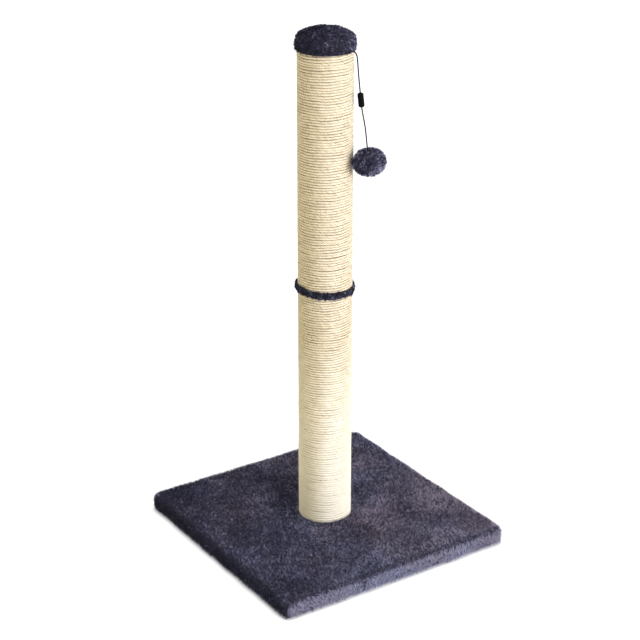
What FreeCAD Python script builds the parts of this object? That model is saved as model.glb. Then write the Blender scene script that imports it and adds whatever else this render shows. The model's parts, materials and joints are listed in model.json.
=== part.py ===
import FreeCAD, Part
import math
import os

# Cat scratching post, in millimetres. +Z is up, and the origin is the centre of the base's underside.
# A square plush-covered base carries two rope-wound posts, screwed one on the other, and a plush cap.
# A plush ball hangs from the cap's rim on a cord that a snap connector joins.

Vector = FreeCAD.Vector
UP = Vector(0, 0, 1)
CENTRE = Vector(0, 0, 0)

# Base
BOARD_SIDE = 387.8
BOARD_THICKNESS = 18.0
BOARD_CORNER_RADIUS = 2.0
BOARD_EDGE_RADIUS = 1.0
PLUSH_THICKNESS = 6.0  # backing and pile, where nothing presses on it
WRAP_CLEARANCE = 0.1  # between a board and the plush stretched over it
BASE_HEM_THICKNESS = 2.5  # plush folded under the board, pressed flat
BASE_HEM_WIDTH = 34.0
BASE_UNDER_RADIUS = 3.0  # rounding where the plush turns under
MITRE_GAP = 0.8  # slit in each folded corner of the hem
MITRE_MARGIN = 5.0  # plush left between the slit and the board's corner
PLUSH_UNDER_POST = 2.0  # plush pressed flat by the lower post
POST_SEAT_CLEARANCE = 0.3

# Posts
TUBE_OUTER_RADIUS = 37.5
TUBE_WALL = 5.0
ROPE_THICKNESS = 4.05
ROPE_CLEARANCE = 0.05  # between the tube and the rope wound on it
LOWER_POST_LENGTH = 392.0
UPPER_POST_LENGTH = 365.5

# Moulded plug in each end of each tube
PLUG_LIP_THICKNESS = 2.0
PLUG_LIP_INSET = 0.5  # from the tube's outside to the lip's edge
PLUG_FIT = 0.1
PLUG_DEPTH = 24.0
PLUG_FACE = 6.0
PLUG_WALL = 2.5
PLUG_LEAD_IN = 1.2
PLUG_BOSS_RADIUS = 11.0
PLUG_BOSS_HEIGHT = 15.0
PLUG_DRAFT = 0.5  # taper of the skirt's inside and of the boss, over their heights
PLUG_RIBS = 8
PLUG_RIB_THICKNESS = 2.0
PLUG_RIB_LOW = 11.0  # rib height at the skirt; at the boss it is the boss's height less the step
PLUG_RIB_STEP = 1.0

# Threaded fasteners, all M8
THREAD_RADIUS = 4.0
THREAD_CLEARANCE = 0.05
HOLE_CLEARANCE = 0.4
PLUSH_HOLE_CLEARANCE = 0.8
THREAD_CHAMFER = 0.8
NUT_ACROSS_FLATS = 13.0
NUT_HEIGHT = 6.5
NUT_POCKET_CLEARANCE = 0.1
BASE_BOLT_LENGTH = 30.0
BUTTON_HEAD_RADIUS = 7.0
BUTTON_HEAD_HEIGHT = 4.4
BUTTON_HEAD_RIM = 1.0
SOCKET_ACROSS_FLATS = 5.0
SOCKET_DEPTH = 2.6
WASHER_RADIUS = 12.0
WASHER_THICKNESS = 1.6
COUNTERBORE_RADIUS = 13.0
COUNTERBORE_DEPTH = 6.5
STUD_LENGTH = 40.0
CAP_BOLT_LENGTH = 25.0
CAP_BOLT_HEAD_RADIUS = 10.0
CAP_BOLT_HEAD_HEIGHT = 3.0
CAP_BOLT_HEAD_RIM = 1.0
CAP_BOLT_NECK_SIDE = 8.0
CAP_BOLT_NECK_DEPTH = 4.5

# Plush strip round the joint of the posts
RING_SECTION_RADIUS = 5.3
RING_STANDS_OUT = 4.4
RING_CLEARANCE = 0.05
RING_TILT = 2.8
RING_LOW_SIDE = -33.7  # azimuth of the strip's lowest point

# Cap
CAP_HEM_THICKNESS = 2.2
CAP_HEM_OPENING_RADIUS = 20.0
CAP_UNDER_RADIUS = 3.7
CAP_BOARD_RADIUS = 38.7
CAP_BOARD_THICKNESS = 10.0
CAP_FOAM_SIDE = 1.6  # height of the foam pad's upright edge
CAP_FOAM_ROUNDING = 6.8
CAP_DOME_RADIUS = 86.3  # of the foam's crown
FOAM_CLEARANCE = 0.1

# Wire staples
STAPLE_WIDTH = 1.2
STAPLE_THICKNESS = 0.7
STAPLE_CROWN = 10.0
STAPLE_LEG = 9.0
BASE_STAPLES_PER_SIDE = 5
BASE_STAPLE_INSET = 20.0  # from the board's edge
BASE_STAPLE_SPREAD = 290.0  # from the first to the last along a side
BASE_STAPLE_RISE = 0.6  # of the crown above the floor
CAP_STAPLES = 8
CAP_STAPLE_RADIUS = 28.0
CAP_STAPLE_RISE = 0.4
TUBE_STAPLES = 3  # round each plug
TUBE_STAPLE_HEIGHT = 14.0  # from the plug's lip
CORD_STAPLE_CROWN = 6.0
CORD_STAPLE_HEIGHT = 9.0  # above the cap's underside

# Toy: the ball's cord lies in the upright plane through the post's axis at this azimuth
TOY_AZIMUTH = -50.7
CORD_DIAMETER = 2.0
CORD_END_CLEARANCE = 0.3  # between the lengths of cord on each side of a bending place
CORD_CHANNEL_CLEARANCE = 0.15
CORD_STAPLE_CLEARANCE = 0.05
CORD_KNOT_RADIUS = 2.0

# Cord routes: how far out from the rope's surface, and how far above the cap's underside
TAIL_ROUTE = [(-1.8, 11.5), (-1.8, 6.2), (0.2, 2.6)]
LEAD_ROUTE = [(2.4, -0.6), (4.6, -3.6), (5.8, -7.2)]
UPPER_ROUTE = [(5.8, -7.2), (6.7, -15.0), (7.6, -27.0), (9.3, -45.7)]
LOWER_ROUTE = [(13.5, -83.5), (15.4, -93.5), (18.6, -109.0), (20.6, -125.0), (22.2, -142.0)]

# Snap connector, a barrel in two halves that meet at its middle
CONNECTOR_PLACE = (12.05, -70.45)
CONNECTOR_LEAN = 6.3  # degrees out from plumb
CONNECTOR_RADIUS = 4.55
CONNECTOR_HALF_LENGTH = 10.6
CONNECTOR_END_RADIUS = 2.6
CONNECTOR_END_WALL = 1.4
CONNECTOR_PARTING_CHAMFER = 0.3
CONNECTOR_BORE_RADIUS = 3.0
CONNECTOR_HOLE_RADIUS = 1.15
CONNECTOR_FIT = 0.15
SPIGOT_LENGTH = 5.2
SPIGOT_BORE_RADIUS = 2.15
SNAP_BEAD_HEIGHT = 3.6  # from the parting face to the bead's middle
SNAP_BEAD_PROUD = 0.1
SNAP_GROOVE_DEPTH = 0.3
SNAP_GROOVE_HALF_WIDTH = 0.7
SPIGOT_SLOTS = 2  # each cuts both walls, so four fingers
SPIGOT_SLOT_WIDTH = 0.8
SPIGOT_SLOT_DEPTH = 4.4
KNOT_CLEARANCE = 0.1

# Ball, flattened a little along its cord's line
BALL_RADIUS = 25.4
BALL_HALF_HEIGHT = 22.0
BALL_LEAN = 9.3
BALL_HEIGHT = -162.7  # centre, above the cap's underside
BALL_GAP = 0.3  # to the rope that it rests against
BALL_COVER_THICKNESS = 4.0
BALL_STUFFING_CLEARANCE = 0.3
BALL_HOLE_CLEARANCE = 0.35
BALL_KNOT_RADIUS = 2.5
BALL_KNOT_HEIGHT = 10.0  # above the ball's centre, along its cord

# Sizes that follow
BOARD_BOTTOM = BASE_HEM_THICKNESS
BOARD_TOP = BOARD_BOTTOM + BOARD_THICKNESS
WRAP_THICKNESS = WRAP_CLEARANCE + PLUSH_THICKNESS
POST_FOOT = BOARD_TOP + PLUSH_UNDER_POST
POST_JOINT = POST_FOOT + LOWER_POST_LENGTH
CAP_UNDERSIDE = POST_JOINT + UPPER_POST_LENGTH
TUBE_INNER_RADIUS = TUBE_OUTER_RADIUS - TUBE_WALL
ROPE_INNER_RADIUS = TUBE_OUTER_RADIUS + ROPE_CLEARANCE
ROPE_OUTER_RADIUS = ROPE_INNER_RADIUS + ROPE_THICKNESS
BOLT_HEAD_SEAT = BOARD_BOTTOM + COUNTERBORE_DEPTH
CAP_BOARD_BOTTOM = CAP_UNDERSIDE + CAP_HEM_THICKNESS
CAP_BOARD_TOP = CAP_BOARD_BOTTOM + CAP_BOARD_THICKNESS
CAP_BOLT_SEAT = CAP_BOARD_TOP - CAP_BOLT_HEAD_HEIGHT - FOAM_CLEARANCE
CORD_RADIUS = CORD_DIAMETER / 2


# --- General shapes -------------------------------------------------------------------------------

def disc(radius, bottom, top):
    return Part.makeCylinder(radius, top - bottom, Vector(0, 0, bottom))


def sleeve(outer_radius, inner_radius, bottom, top):
    return disc(outer_radius, bottom, top).cut(disc(inner_radius, bottom, top))


def block(length, width, bottom, top):
    corner = Vector(-length / 2, -width / 2, bottom)
    return Part.makeBox(length, width, top - bottom, corner)


def hex_prism(across_flats, bottom, top):
    corner_radius = across_flats / math.sqrt(3)
    corners = [Vector(corner_radius * math.cos(math.radians(60 * i)),
                      corner_radius * math.sin(math.radians(60 * i)), bottom) for i in range(7)]
    return Part.Face(Part.makePolygon(corners)).extrude(Vector(0, 0, top - bottom))


def revolved(profile):
    """The solid that a closed outline, given as edges or as (radius, height) points, sweeps about Z."""
    if isinstance(profile[0], tuple):
        points = [Vector(radius, 0, height) for radius, height in profile]
        outline = Part.makePolygon(points + points[:1])
    else:
        outline = Part.Wire(Part.__sortEdges__(profile))
    return Part.Face(outline).revolve(CENTRE, UP, 360)


def line(start, end):
    return Part.LineSegment(Vector(start[0], 0, start[1]), Vector(end[0], 0, end[1])).toShape()


def arc(start, middle, end):
    places = [Vector(radius, 0, height) for radius, height in (start, middle, end)]
    return Part.Arc(*places).toShape()


def crown_arcs(radius, rounding, dome, side_top):
    """Two arcs that close a round form: a rounding from the top of its upright side, and a dome to its axis.

    The rounding's circle touches the side and, from within, the dome's circle. The dome's top comes too.
    """
    drop = math.sqrt((dome - rounding) ** 2 - (radius - rounding) ** 2)
    dome_centre = side_top - drop
    lean = math.atan2(radius - rounding, drop)
    bend = (lean + math.pi / 2) / 2
    meet = (dome * math.sin(lean), dome_centre + dome * math.cos(lean))
    half_dome = (dome * math.sin(lean / 2), dome_centre + dome * math.cos(lean / 2))
    half_rounding = (radius - rounding + rounding * math.sin(bend), side_top + rounding * math.cos(bend))
    top = dome_centre + dome
    return [arc((radius, side_top), half_rounding, meet), arc(meet, half_dome, (0, top))], top


def rounded_block(side, bottom, top, corner_radius, edge_radius):
    """A square slab with rounded upright corners and a rounded top edge."""
    slab = block(side, side, bottom, top)
    upright = [edge for edge in slab.Edges if edge.BoundBox.ZLength > (top - bottom) / 2]
    slab = slab.makeFillet(corner_radius, upright)
    rim = [edge for edge in slab.Edges if edge.BoundBox.ZMin > top - 1e-6]
    return slab.makeFillet(edge_radius, rim)


def facing(shape, azimuth):
    """The shape turned about the post's axis, so that what was at +X is at the azimuth."""
    turned = shape.copy()
    turned.rotate(CENTRE, UP, azimuth)
    return turned


def moved(shape, x, y, z):
    copy = shape.copy()
    copy.translate(Vector(x, y, z))
    return copy


def group(shapes):
    return Part.makeCompound(shapes)


def one_solid(shape):
    """The shape as a plain solid, with no seams left between faces of one surface."""
    clean = shape.removeSplitter()
    solids = clean.Solids
    assert len(solids) == 1, "expected one solid, got %d" % len(solids)
    return solids[0]


# --- Staples --------------------------------------------------------------------------------------

def staple(crown, leg):
    """A staple with its crown along X at height 0 and its legs pointing up."""
    half = crown / 2
    inner = half - STAPLE_THICKNESS
    outline = [(-half, 0), (half, 0), (half, leg), (inner, leg), (inner, STAPLE_THICKNESS),
               (-inner, STAPLE_THICKNESS), (-inner, leg), (-half, leg), (-half, 0)]
    points = [Vector(x, -STAPLE_WIDTH / 2, z) for x, z in outline]
    return Part.Face(Part.makePolygon(points)).extrude(Vector(0, STAPLE_WIDTH, 0))


def crown_slot(crown, depth):
    """The dent that a crown at height 0 pulls in the plush below it."""
    return moved(block(crown, STAPLE_WIDTH, 0, depth + STAPLE_THICKNESS), 0, 0, -depth)


def round_base(shape):
    """Copies of a shape made at the origin, spaced along the hem of each of the base's sides."""
    reach = BOARD_SIDE / 2 - BASE_STAPLE_INSET
    step = BASE_STAPLE_SPREAD / (BASE_STAPLES_PER_SIDE - 1)
    copies = []
    for side in range(4):
        for i in range(BASE_STAPLES_PER_SIDE):
            along = i * step - BASE_STAPLE_SPREAD / 2
            copies.append(facing(moved(shape, along, -reach, BASE_STAPLE_RISE), 90 * side))
    return copies


def base_staples():
    return group(round_base(staple(STAPLE_CROWN, STAPLE_LEG)))


def round_cap(shape):
    height = CAP_UNDERSIDE + CAP_STAPLE_RISE
    seated = moved(shape, 0, -CAP_STAPLE_RADIUS, height)
    return [facing(seated, 360 / CAP_STAPLES * (i + 0.5)) for i in range(CAP_STAPLES)]


def cap_staples():
    return group(round_cap(staple(STAPLE_CROWN, STAPLE_LEG)))


def tube_staples():
    """Staples from outside through each tube's wall into its plug, with their crowns flush."""
    wire = staple(STAPLE_CROWN, STAPLE_LEG)
    wire.rotate(CENTRE, Vector(0, 1, 0), -90)
    wire = moved(wire, TUBE_OUTER_RADIUS, 0, 0)
    staples = []
    for lip, inward in PLUG_ENDS.values():
        for i in range(TUBE_STAPLES):
            raised = moved(wire, 0, 0, lip + inward * TUBE_STAPLE_HEIGHT)
            staples.append(facing(raised, 360 / TUBE_STAPLES * i))
    return group(staples)


def cord_staple():
    """A staple over the cord's end, driven level into the cap board's edge."""
    wire = staple(CORD_STAPLE_CROWN, STAPLE_LEG)
    wire.rotate(CENTRE, UP, 90)
    wire.rotate(CENTRE, Vector(0, 1, 0), -90)
    over_cord = ROPE_OUTER_RADIUS + TAIL_ROUTE[0][0] + CORD_RADIUS + STAPLE_THICKNESS
    over_cord += CORD_STAPLE_CLEARANCE
    return facing(moved(wire, over_cord, 0, CAP_UNDERSIDE + CORD_STAPLE_HEIGHT), TOY_AZIMUTH)


# --- Base -----------------------------------------------------------------------------------------

def base_board():
    board = rounded_block(BOARD_SIDE, BOARD_BOTTOM, BOARD_TOP, BOARD_CORNER_RADIUS, BOARD_EDGE_RADIUS)
    board = board.cut(disc(THREAD_RADIUS + HOLE_CLEARANCE, 0, POST_FOOT))
    board = board.cut(disc(COUNTERBORE_RADIUS, BOARD_BOTTOM, BOLT_HEAD_SEAT))
    return one_solid(board.cut(base_staples()))


def base_plush():
    """The cover: over the top, down the sides and under into a hem, mitred at the corners."""
    cover = rounded_block(BOARD_SIDE + 2 * WRAP_THICKNESS, 0, BOARD_TOP + WRAP_THICKNESS,
                          BOARD_CORNER_RADIUS + WRAP_THICKNESS, BOARD_EDGE_RADIUS + WRAP_THICKNESS)
    underside = [edge for edge in cover.Edges if edge.BoundBox.ZMax < 1e-6]
    cover = cover.makeFillet(BASE_UNDER_RADIUS, underside)
    cover = cover.cut(rounded_block(BOARD_SIDE + 2 * WRAP_CLEARANCE, BOARD_BOTTOM,
                                    BOARD_TOP + WRAP_CLEARANCE, BOARD_CORNER_RADIUS + WRAP_CLEARANCE,
                                    BOARD_EDGE_RADIUS + WRAP_CLEARANCE))
    opening = BOARD_SIDE - 2 * BASE_HEM_WIDTH
    cover = cover.cut(block(opening, opening, 0, BOARD_BOTTOM))
    slit_end = BOARD_SIDE / math.sqrt(2) - MITRE_MARGIN
    slits = block(2 * slit_end, MITRE_GAP, 0, BOARD_BOTTOM)
    for azimuth in (45, 135):
        cover = cover.cut(facing(slits, azimuth))
    above = BOARD_TOP + 2 * WRAP_THICKNESS
    cover = cover.cut(disc(ROPE_OUTER_RADIUS + POST_SEAT_CLEARANCE, POST_FOOT, above))
    cover = cover.cut(disc(THREAD_RADIUS + PLUSH_HOLE_CLEARANCE, BOARD_TOP, POST_FOOT))
    dents = round_base(crown_slot(STAPLE_CROWN, BASE_STAPLE_RISE))
    return one_solid(cover.cut(group(dents)).cut(base_staples()))


def base_washer():
    hole = THREAD_RADIUS + HOLE_CLEARANCE
    return sleeve(WASHER_RADIUS, hole, BOLT_HEAD_SEAT - WASHER_THICKNESS, BOLT_HEAD_SEAT)


def base_bolt():
    """A button-head bolt pointing up, with its socket below."""
    seat = BOLT_HEAD_SEAT - WASHER_THICKNESS
    low = seat - BUTTON_HEAD_HEIGHT
    crown = SOCKET_ACROSS_FLATS * 0.75
    half_way = ((BUTTON_HEAD_RADIUS + crown) / 2 + BUTTON_HEAD_RIM / 2, low + BUTTON_HEAD_HEIGHT * 0.3)
    rim = (BUTTON_HEAD_RADIUS, seat - BUTTON_HEAD_RIM)
    tip = seat + BASE_BOLT_LENGTH
    corners = [rim, (BUTTON_HEAD_RADIUS, seat), (THREAD_RADIUS, seat), (THREAD_RADIUS, tip - THREAD_CHAMFER),
               (THREAD_RADIUS - THREAD_CHAMFER, tip), (0, tip), (0, low), (crown, low)]
    outline = [line(start, end) for start, end in zip(corners, corners[1:])]
    outline.append(arc((crown, low), half_way, rim))
    return one_solid(revolved(outline).cut(hex_prism(SOCKET_ACROSS_FLATS, low, low + SOCKET_DEPTH)))


# --- Posts ----------------------------------------------------------------------------------------

# Each plug's node, with the height of its lip's outer face and the way it points into its tube
PLUG_ENDS = {
    "lower_bottom_plug": (POST_FOOT, 1),
    "lower_top_plug": (POST_JOINT, -1),
    "upper_bottom_plug": (POST_JOINT, 1),
    "upper_top_plug": (CAP_UNDERSIDE, -1),
}


def into_tube(shape, lip, inward):
    """A shape made with its lip at height 0 and pointing up, seated in the end of a tube."""
    seated = shape.copy()
    if inward < 0:
        seated.rotate(CENTRE, Vector(1, 0, 0), 180)
    return moved(seated, 0, 0, lip)


def plug():
    """A moulded cup with a lip, a boss with a pocket for a nut, and ribs from the boss to the skirt."""
    skirt = TUBE_INNER_RADIUS - PLUG_FIT
    inside = skirt - PLUG_WALL
    lip = TUBE_OUTER_RADIUS - PLUG_LIP_INSET
    hole = THREAD_RADIUS + HOLE_CLEARANCE
    body = revolved([
        (hole, 0), (lip, 0), (lip, PLUG_LIP_THICKNESS), (skirt, PLUG_LIP_THICKNESS),
        (skirt, PLUG_DEPTH - PLUG_LEAD_IN), (skirt - PLUG_LEAD_IN, PLUG_DEPTH), (inside, PLUG_DEPTH),
        (inside - PLUG_DRAFT, PLUG_FACE), (PLUG_BOSS_RADIUS + PLUG_DRAFT, PLUG_FACE),
        (PLUG_BOSS_RADIUS, PLUG_BOSS_HEIGHT), (hole, PLUG_BOSS_HEIGHT),
    ])
    rib_root = PLUG_BOSS_RADIUS - PLUG_RIB_THICKNESS / 2
    rib_end = inside + PLUG_WALL / 2
    sunk = PLUG_FACE / 2
    side = -PLUG_RIB_THICKNESS / 2
    outline = [Vector(rib_root, side, sunk), Vector(rib_end, side, sunk), Vector(rib_end, side, PLUG_RIB_LOW),
               Vector(rib_root, side, PLUG_BOSS_HEIGHT - PLUG_RIB_STEP)]
    rib = Part.Face(Part.makePolygon(outline + outline[:1])).extrude(Vector(0, PLUG_RIB_THICKNESS, 0))
    body = body.fuse([facing(rib, 360 / PLUG_RIBS * (i + 0.5)) for i in range(PLUG_RIBS)])
    pocket = hex_prism(NUT_ACROSS_FLATS + 2 * NUT_POCKET_CLEARANCE, PLUG_FACE, PLUG_BOSS_HEIGHT)
    return one_solid(body.cut(pocket))


def nut():
    """A hexagon nut whose corners are chamfered at both faces."""
    prism = hex_prism(NUT_ACROSS_FLATS, 0, NUT_HEIGHT)
    corner = NUT_ACROSS_FLATS / math.sqrt(3)
    flat = NUT_ACROSS_FLATS / 2
    rise = (corner - flat) * math.tan(math.radians(30))
    turned = revolved([(0, 0), (flat, 0), (corner, rise), (corner, NUT_HEIGHT - rise), (flat, NUT_HEIGHT),
                       (0, NUT_HEIGHT)])
    return one_solid(prism.common(turned).cut(disc(THREAD_RADIUS + THREAD_CLEARANCE, 0, NUT_HEIGHT)))


def plug_nuts():
    seated = moved(nut(), 0, 0, PLUG_FACE)
    return group([into_tube(seated, lip, inward) for lip, inward in PLUG_ENDS.values()])


def tube(foot, top):
    pipe = sleeve(TUBE_OUTER_RADIUS, TUBE_INNER_RADIUS, foot + PLUG_LIP_THICKNESS, top - PLUG_LIP_THICKNESS)
    return one_solid(pipe.cut(tube_staples()))


def rope(foot, top):
    """The outer form of the rope wound round a tube, turn against turn."""
    return sleeve(ROPE_OUTER_RADIUS, ROPE_INNER_RADIUS, foot, top)


def joining_stud():
    end = STUD_LENGTH / 2
    return revolved([(0, POST_JOINT - end), (THREAD_RADIUS - THREAD_CHAMFER, POST_JOINT - end),
                     (THREAD_RADIUS, POST_JOINT - end + THREAD_CHAMFER),
                     (THREAD_RADIUS, POST_JOINT + end - THREAD_CHAMFER),
                     (THREAD_RADIUS - THREAD_CHAMFER, POST_JOINT + end), (0, POST_JOINT + end)])


def seam_ring():
    """A round-backed strip that follows the rope's surface, a little lower on one side."""
    section_centre = ROPE_OUTER_RADIUS + RING_STANDS_OUT - RING_SECTION_RADIUS
    strip = Part.makeTorus(section_centre, RING_SECTION_RADIUS)
    strip.rotate(CENTRE, Vector(0, 1, 0), RING_TILT)
    reach = 2 * RING_SECTION_RADIUS
    strip = strip.cut(disc(ROPE_OUTER_RADIUS + RING_CLEARANCE, -reach, reach))
    return one_solid(facing(moved(strip, 0, 0, POST_JOINT), RING_LOW_SIDE))


# --- Cap ------------------------------------------------------------------------------------------

def crowned_disc(grown, bottom):
    """The covered board's outline with its foam crown, grown outwards all round above the bottom."""
    radius = CAP_BOARD_RADIUS + grown
    side_top = CAP_BOARD_TOP + CAP_FOAM_SIDE
    crown, top = crown_arcs(radius, CAP_FOAM_ROUNDING + grown, CAP_DOME_RADIUS + grown, side_top)
    sides = [line((0, bottom), (radius, bottom)), line((radius, bottom), (radius, side_top))]
    return revolved(sides + crown + [line((0, top), (0, bottom))])


def cap_board():
    board = disc(CAP_BOARD_RADIUS, CAP_BOARD_BOTTOM, CAP_BOARD_TOP)
    board = board.cut(disc(THREAD_RADIUS + HOLE_CLEARANCE, CAP_BOARD_BOTTOM, CAP_BOARD_TOP))
    board = board.cut(disc(CAP_BOLT_HEAD_RADIUS + HOLE_CLEARANCE, CAP_BOLT_SEAT, CAP_BOARD_TOP))
    board = board.cut(cap_bolt_neck())
    return one_solid(board.cut(cap_staples()).cut(cord_staple()))


def cap_bolt_neck():
    return block(CAP_BOLT_NECK_SIDE, CAP_BOLT_NECK_SIDE, CAP_BOLT_SEAT - CAP_BOLT_NECK_DEPTH, CAP_BOLT_SEAT)


def cap_bolt():
    """A coach bolt pointing down, its low round head sunk in the board under the foam."""
    tip = CAP_BOLT_SEAT - CAP_BOLT_LENGTH
    top = CAP_BOLT_SEAT + CAP_BOLT_HEAD_HEIGHT
    rise = CAP_BOLT_HEAD_HEIGHT - CAP_BOLT_HEAD_RIM
    dome = (CAP_BOLT_HEAD_RADIUS ** 2 + rise ** 2) / (2 * rise)
    half_way = math.asin(CAP_BOLT_HEAD_RADIUS / dome) / 2
    rim = (CAP_BOLT_HEAD_RADIUS, CAP_BOLT_SEAT + CAP_BOLT_HEAD_RIM)
    middle = (dome * math.sin(half_way), top - dome + dome * math.cos(half_way))
    corners = [(0, top), (0, tip), (THREAD_RADIUS - THREAD_CHAMFER, tip),
               (THREAD_RADIUS, tip + THREAD_CHAMFER), (THREAD_RADIUS, CAP_BOLT_SEAT),
               (CAP_BOLT_HEAD_RADIUS, CAP_BOLT_SEAT), rim]
    outline = [line(start, end) for start, end in zip(corners, corners[1:])]
    outline.append(arc(rim, middle, (0, top)))
    return one_solid(revolved(outline).fuse(cap_bolt_neck()))


def cap_foam():
    return crowned_disc(0, CAP_BOARD_TOP)


def cap_plush():
    """The cap's cover: over the crown, down the side and under into a hem that the post presses flat."""
    cover = crowned_disc(WRAP_THICKNESS, CAP_UNDERSIDE)
    rim = [edge for edge in cover.Edges if edge.BoundBox.ZMax < CAP_UNDERSIDE + 1e-6]
    cover = cover.makeFillet(CAP_UNDER_RADIUS, rim)
    cover = cover.cut(crowned_disc(WRAP_CLEARANCE, CAP_BOARD_BOTTOM))
    cover = cover.cut(disc(CAP_HEM_OPENING_RADIUS, CAP_UNDERSIDE, CAP_BOARD_BOTTOM))
    dents = round_cap(crown_slot(STAPLE_CROWN, CAP_STAPLE_RISE))
    cover = cover.cut(group(dents)).cut(cap_staples()).cut(cord_staple())
    start = TAIL_ROUTE[0]
    channel_route = [(start[0], start[1] + CORD_END_CLEARANCE)] + TAIL_ROUTE[1:] + LEAD_ROUTE[:2]
    channel = cord_tube(places(channel_route), CORD_DIAMETER + 2 * CORD_CHANNEL_CLEARANCE)
    return one_solid(cover.cut(facing(channel, TOY_AZIMUTH)))


# --- Toy ------------------------------------------------------------------------------------------

# The toy is made with its upright plane at azimuth 0, and then turned to face its own azimuth.

def places(route):
    """The points of a route, in the plane at azimuth 0."""
    return [Vector(ROPE_OUTER_RADIUS + out, 0, CAP_UNDERSIDE + height) for out, height in route]


def leaning(degrees):
    """The downward direction that leans out from plumb."""
    return Vector(math.sin(math.radians(degrees)), 0, -math.cos(math.radians(degrees)))


CONNECTOR_AXIS = leaning(CONNECTOR_LEAN)
CONNECTOR_CENTRE = places([CONNECTOR_PLACE])[0]
KNOT_OFFSET = (CONNECTOR_HALF_LENGTH - CONNECTOR_END_WALL - KNOT_CLEARANCE
               - math.sqrt(CORD_KNOT_RADIUS ** 2 - CONNECTOR_HOLE_RADIUS ** 2))
BALL_AXIS = leaning(BALL_LEAN)
# the ball's side and crown have the curvature of an ellipse at its ends, and meet smoothly
BALL_SIDE_ROUNDING = BALL_HALF_HEIGHT ** 2 / BALL_RADIUS
BALL_INSET = BALL_RADIUS - BALL_SIDE_ROUNDING
BALL_CROWN_RADIUS = ((BALL_INSET ** 2 + BALL_HALF_HEIGHT ** 2 - BALL_SIDE_ROUNDING ** 2)
                     / (2 * (BALL_HALF_HEIGHT - BALL_SIDE_ROUNDING)))
BALL_REACH = BALL_INSET * math.cos(math.radians(BALL_LEAN)) + BALL_SIDE_ROUNDING
BALL_CENTRE = Vector(ROPE_OUTER_RADIUS + BALL_GAP + BALL_REACH, 0, CAP_UNDERSIDE + BALL_HEIGHT)
BALL_KNOT = BALL_CENTRE - BALL_AXIS * BALL_KNOT_HEIGHT


def cord_wire(points):
    """Straight runs joined by tangent arcs, each as large as its two runs allow."""
    edges = []
    radii = []
    start = points[0]
    for before, corner, after in zip(points, points[1:], points[2:]):
        back = before - corner
        ahead = after - corner
        reach = 0.45 * min(back.Length, ahead.Length)
        back.normalize()
        ahead.normalize()
        half_turn = (math.pi - back.getAngle(ahead)) / 2
        radius = reach / math.tan(half_turn)
        radii.append(radius)
        inside = back + ahead
        inside.normalize()
        middle = corner + inside * (radius / math.cos(half_turn) - radius)
        entry = corner + back * reach
        leave = corner + ahead * reach
        edges.append(Part.LineSegment(start, entry).toShape())
        edges.append(Part.Arc(entry, middle, leave).toShape())
        start = leave
    edges.append(Part.LineSegment(start, points[-1]).toShape())
    return Part.Wire(edges), radii


def cord_tube(points, diameter):
    wire, radii = cord_wire(points)
    direction = points[1] - points[0]
    section = Part.Wire(Part.Circle(points[0], direction, diameter / 2).toShape())
    swept = wire.makePipeShell([section], True, True)
    volume = math.pi * diameter ** 2 / 4 * wire.Length
    print("cord of %.1f mm: length %.1f, radii %s, volume %.4f of section times length" % (
        diameter, wire.Length, " ".join("%.1f" % radius for radius in radii), swept.Volume / volume))
    return swept


def rounded_end(point, beyond):
    """Half a ball that closes a cord's end at a bending place, on the side away from the cord."""
    return Part.makeSphere(CORD_RADIUS, point, beyond, 0, 90, 360)


def toy_cord_tail():
    """The cord's end inside the cap, down to just short of where it starts to swing."""
    points = places(TAIL_ROUTE + LEAD_ROUTE[:1])
    last = points[-1] - points[-2]
    last.normalize()
    points[-1] = points[-1] - last * (CORD_RADIUS + CORD_END_CLEARANCE)
    return cord_tube(points, CORD_DIAMETER)


def toy_cord_lead():
    """The bend below the cap's rim, short of the place where the cord swings sideways."""
    points = places(LEAD_ROUTE)
    last = points[-1] - points[-2]
    last.normalize()
    beyond = points[0] - points[1]
    swing = points[0]
    points[-1] = points[-1] - last * (CORD_RADIUS + CORD_END_CLEARANCE)
    return cord_tube(points, CORD_DIAMETER).fuse(rounded_end(swing, beyond))


def toy_cord_upper():
    """From the sideways swing's place down into the socket, where a knot holds it."""
    points = places(UPPER_ROUTE) + [CONNECTOR_CENTRE - CONNECTOR_AXIS * KNOT_OFFSET]
    knot = Part.makeSphere(CORD_KNOT_RADIUS, points[-1])
    cord = cord_tube(points, CORD_DIAMETER).fuse(rounded_end(points[0], points[0] - points[1]))
    return cord.fuse(knot)


def toy_cord_lower():
    """From a knot in the connector's plug down to the knot in the ball."""
    first = CONNECTOR_CENTRE + CONNECTOR_AXIS * KNOT_OFFSET
    last = BALL_KNOT - BALL_AXIS * (BALL_KNOT_RADIUS + CORD_END_CLEARANCE)
    cord = cord_tube([first] + places(LOWER_ROUTE) + [last], CORD_DIAMETER)
    return cord.fuse(Part.makeSphere(CORD_KNOT_RADIUS, first))


def on_connector(shape):
    """A shape made about Z, with the parting face at height 0, put in the barrel's place."""
    placed = shape.copy()
    placed.rotate(CENTRE, Vector(0, 1, 0), -CONNECTOR_LEAN)
    placed.translate(CONNECTOR_CENTRE)
    return placed


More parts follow.
